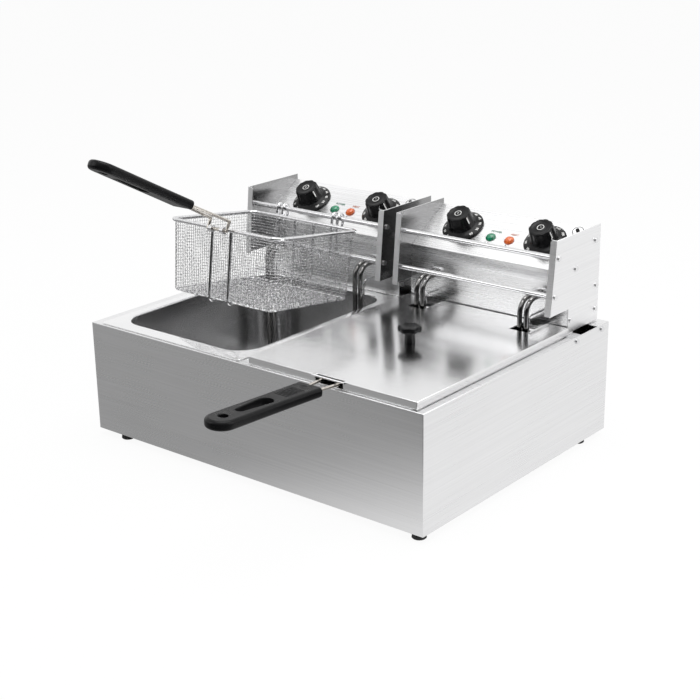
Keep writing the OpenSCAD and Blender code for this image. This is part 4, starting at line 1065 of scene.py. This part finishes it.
stageLook = dict(size=12.0, floor=0.9, white=0.93, axis=(0.77, 0.63), dim=0.36, bright=0.98, start=-0.20,
                 end=0.22, toFront=(0.632, -0.775), shade=0.06, shadeFrom=0.34, shadeTo=0.54)
white = opaque((1, 1, 1))


def makeFloor(look):
    # seen directly: mostly white with the object's shadow; in reflections: bright to the right and rear,
    # dim in front, nearly dark further out to the front right
    size = look["size"]
    mesh = bpy.data.meshes.new("floor")
    corners = [(-size, -size, 0), (size, -size, 0), (size, size, 0), (-size, size, 0)]
    mesh.from_pydata(corners, [], [(0, 1, 2, 3)])
    floor = bpy.data.objects.new("floor", mesh)
    bpy.context.scene.collection.objects.link(floor)
    material, g = newMaterial("paleFloor")
    mesh.materials.append(material)
    path = g.add("LightPath")
    place = g.add("SeparateXYZ", {0: g.place()})
    rightward, forward = g.along(place, look["axis"]), g.along(place, look["toFront"])
    level = g.spread(rightward, look["start"], look["end"], look["dim"], look["bright"], "SMOOTHSTEP")
    shade = g.spread(forward, look["shadeFrom"], look["shadeTo"], 1.0, look["shade"], "SMOOTHSTEP")
    strength = g.math("MULTIPLY", level, shade)
    reflected = g.add("Emission", {"Color": white, "Strength": strength}).outputs[0]
    lit = g.add("BsdfDiffuse", {"Color": opaque([look["floor"]] * 3)}).outputs[0]
    glowing = g.add("Emission", {"Color": white, "Strength": 1.0}).outputs[0]
    seen = g.add("MixShader", {0: look["white"], 1: lit, 2: glowing}).outputs[0]
    direct = g.add("MixShader", {0: path.outputs["Is Camera Ray"], 1: lit, 2: seen}).outputs[0]
    mixed = g.add("MixShader", {0: g.mirrored(path), 1: direct, 2: reflected}).outputs[0]
    g.add("OutputMaterial", {0: mixed})


worldLook = dict(ambient=0.62, toFront=stageLook["toFront"], dark=0.03, bright=1.0, start=-0.22, end=0.45,
                 clearFrom=0.42, clearTo=0.62)


def makeWorld(look):
    # seen directly it is white; in reflections white, but dark low down towards the front right
    world = bpy.data.worlds.new("softRoom")
    bpy.context.scene.world = world
    world.use_nodes = True
    g = Graph(world.node_tree)
    way = g.add("SeparateXYZ", {0: g.add("TexCoord").outputs["Generated"]})
    forward = g.along(way, look["toFront"])
    low = g.spread(forward, look["start"], look["end"], look["bright"], look["dark"], "SMOOTHSTEP")
    overhead = g.spread(way.outputs[2], look["clearFrom"], look["clearTo"], 0.0, 1.0, "SMOOTHSTEP")
    path = g.add("LightPath")
    strength = g.blend(g.mirrored(path), look["ambient"], g.blend(overhead, low, look["bright"]))
    strength = g.blend(path.outputs["Is Camera Ray"], strength, 1.0)
    g.add("OutputWorld", {0: g.add("Background", {0: white, 1: strength}).outputs[0]})


lightAim = (0, 0, 0.15)
lights = dict(overhead=dict(place=(0.2, 0.1, 2.2), size=1.6, power=26.0),
              rightCard=dict(place=(2.1, 0.6, 1.1), size=1.4, power=14.0),
              frontCard=dict(place=(-1.4, -1.9, 1.5), size=1.2, power=8.0))


def makeLights(table):
    for name, look in table.items():
        lamp = bpy.data.lights.new(name, "AREA")
        lamp.shape = "SQUARE"
        lamp.size = look["size"]
        lamp.energy = look["power"]
        item = bpy.data.objects.new(name, lamp)
        item.location = look["place"]
        item.rotation_mode = "QUATERNION"
        item.rotation_quaternion = (Vector(lightAim) - Vector(look["place"])).to_track_quat("-Z", "Y")
        bpy.context.scene.collection.objects.link(item)


makeFloor(stageLook)
makeWorld(worldLook)
makeLights(lights)
bpy.context.scene.view_settings.view_transform = "Standard"
print("stage and lights set")
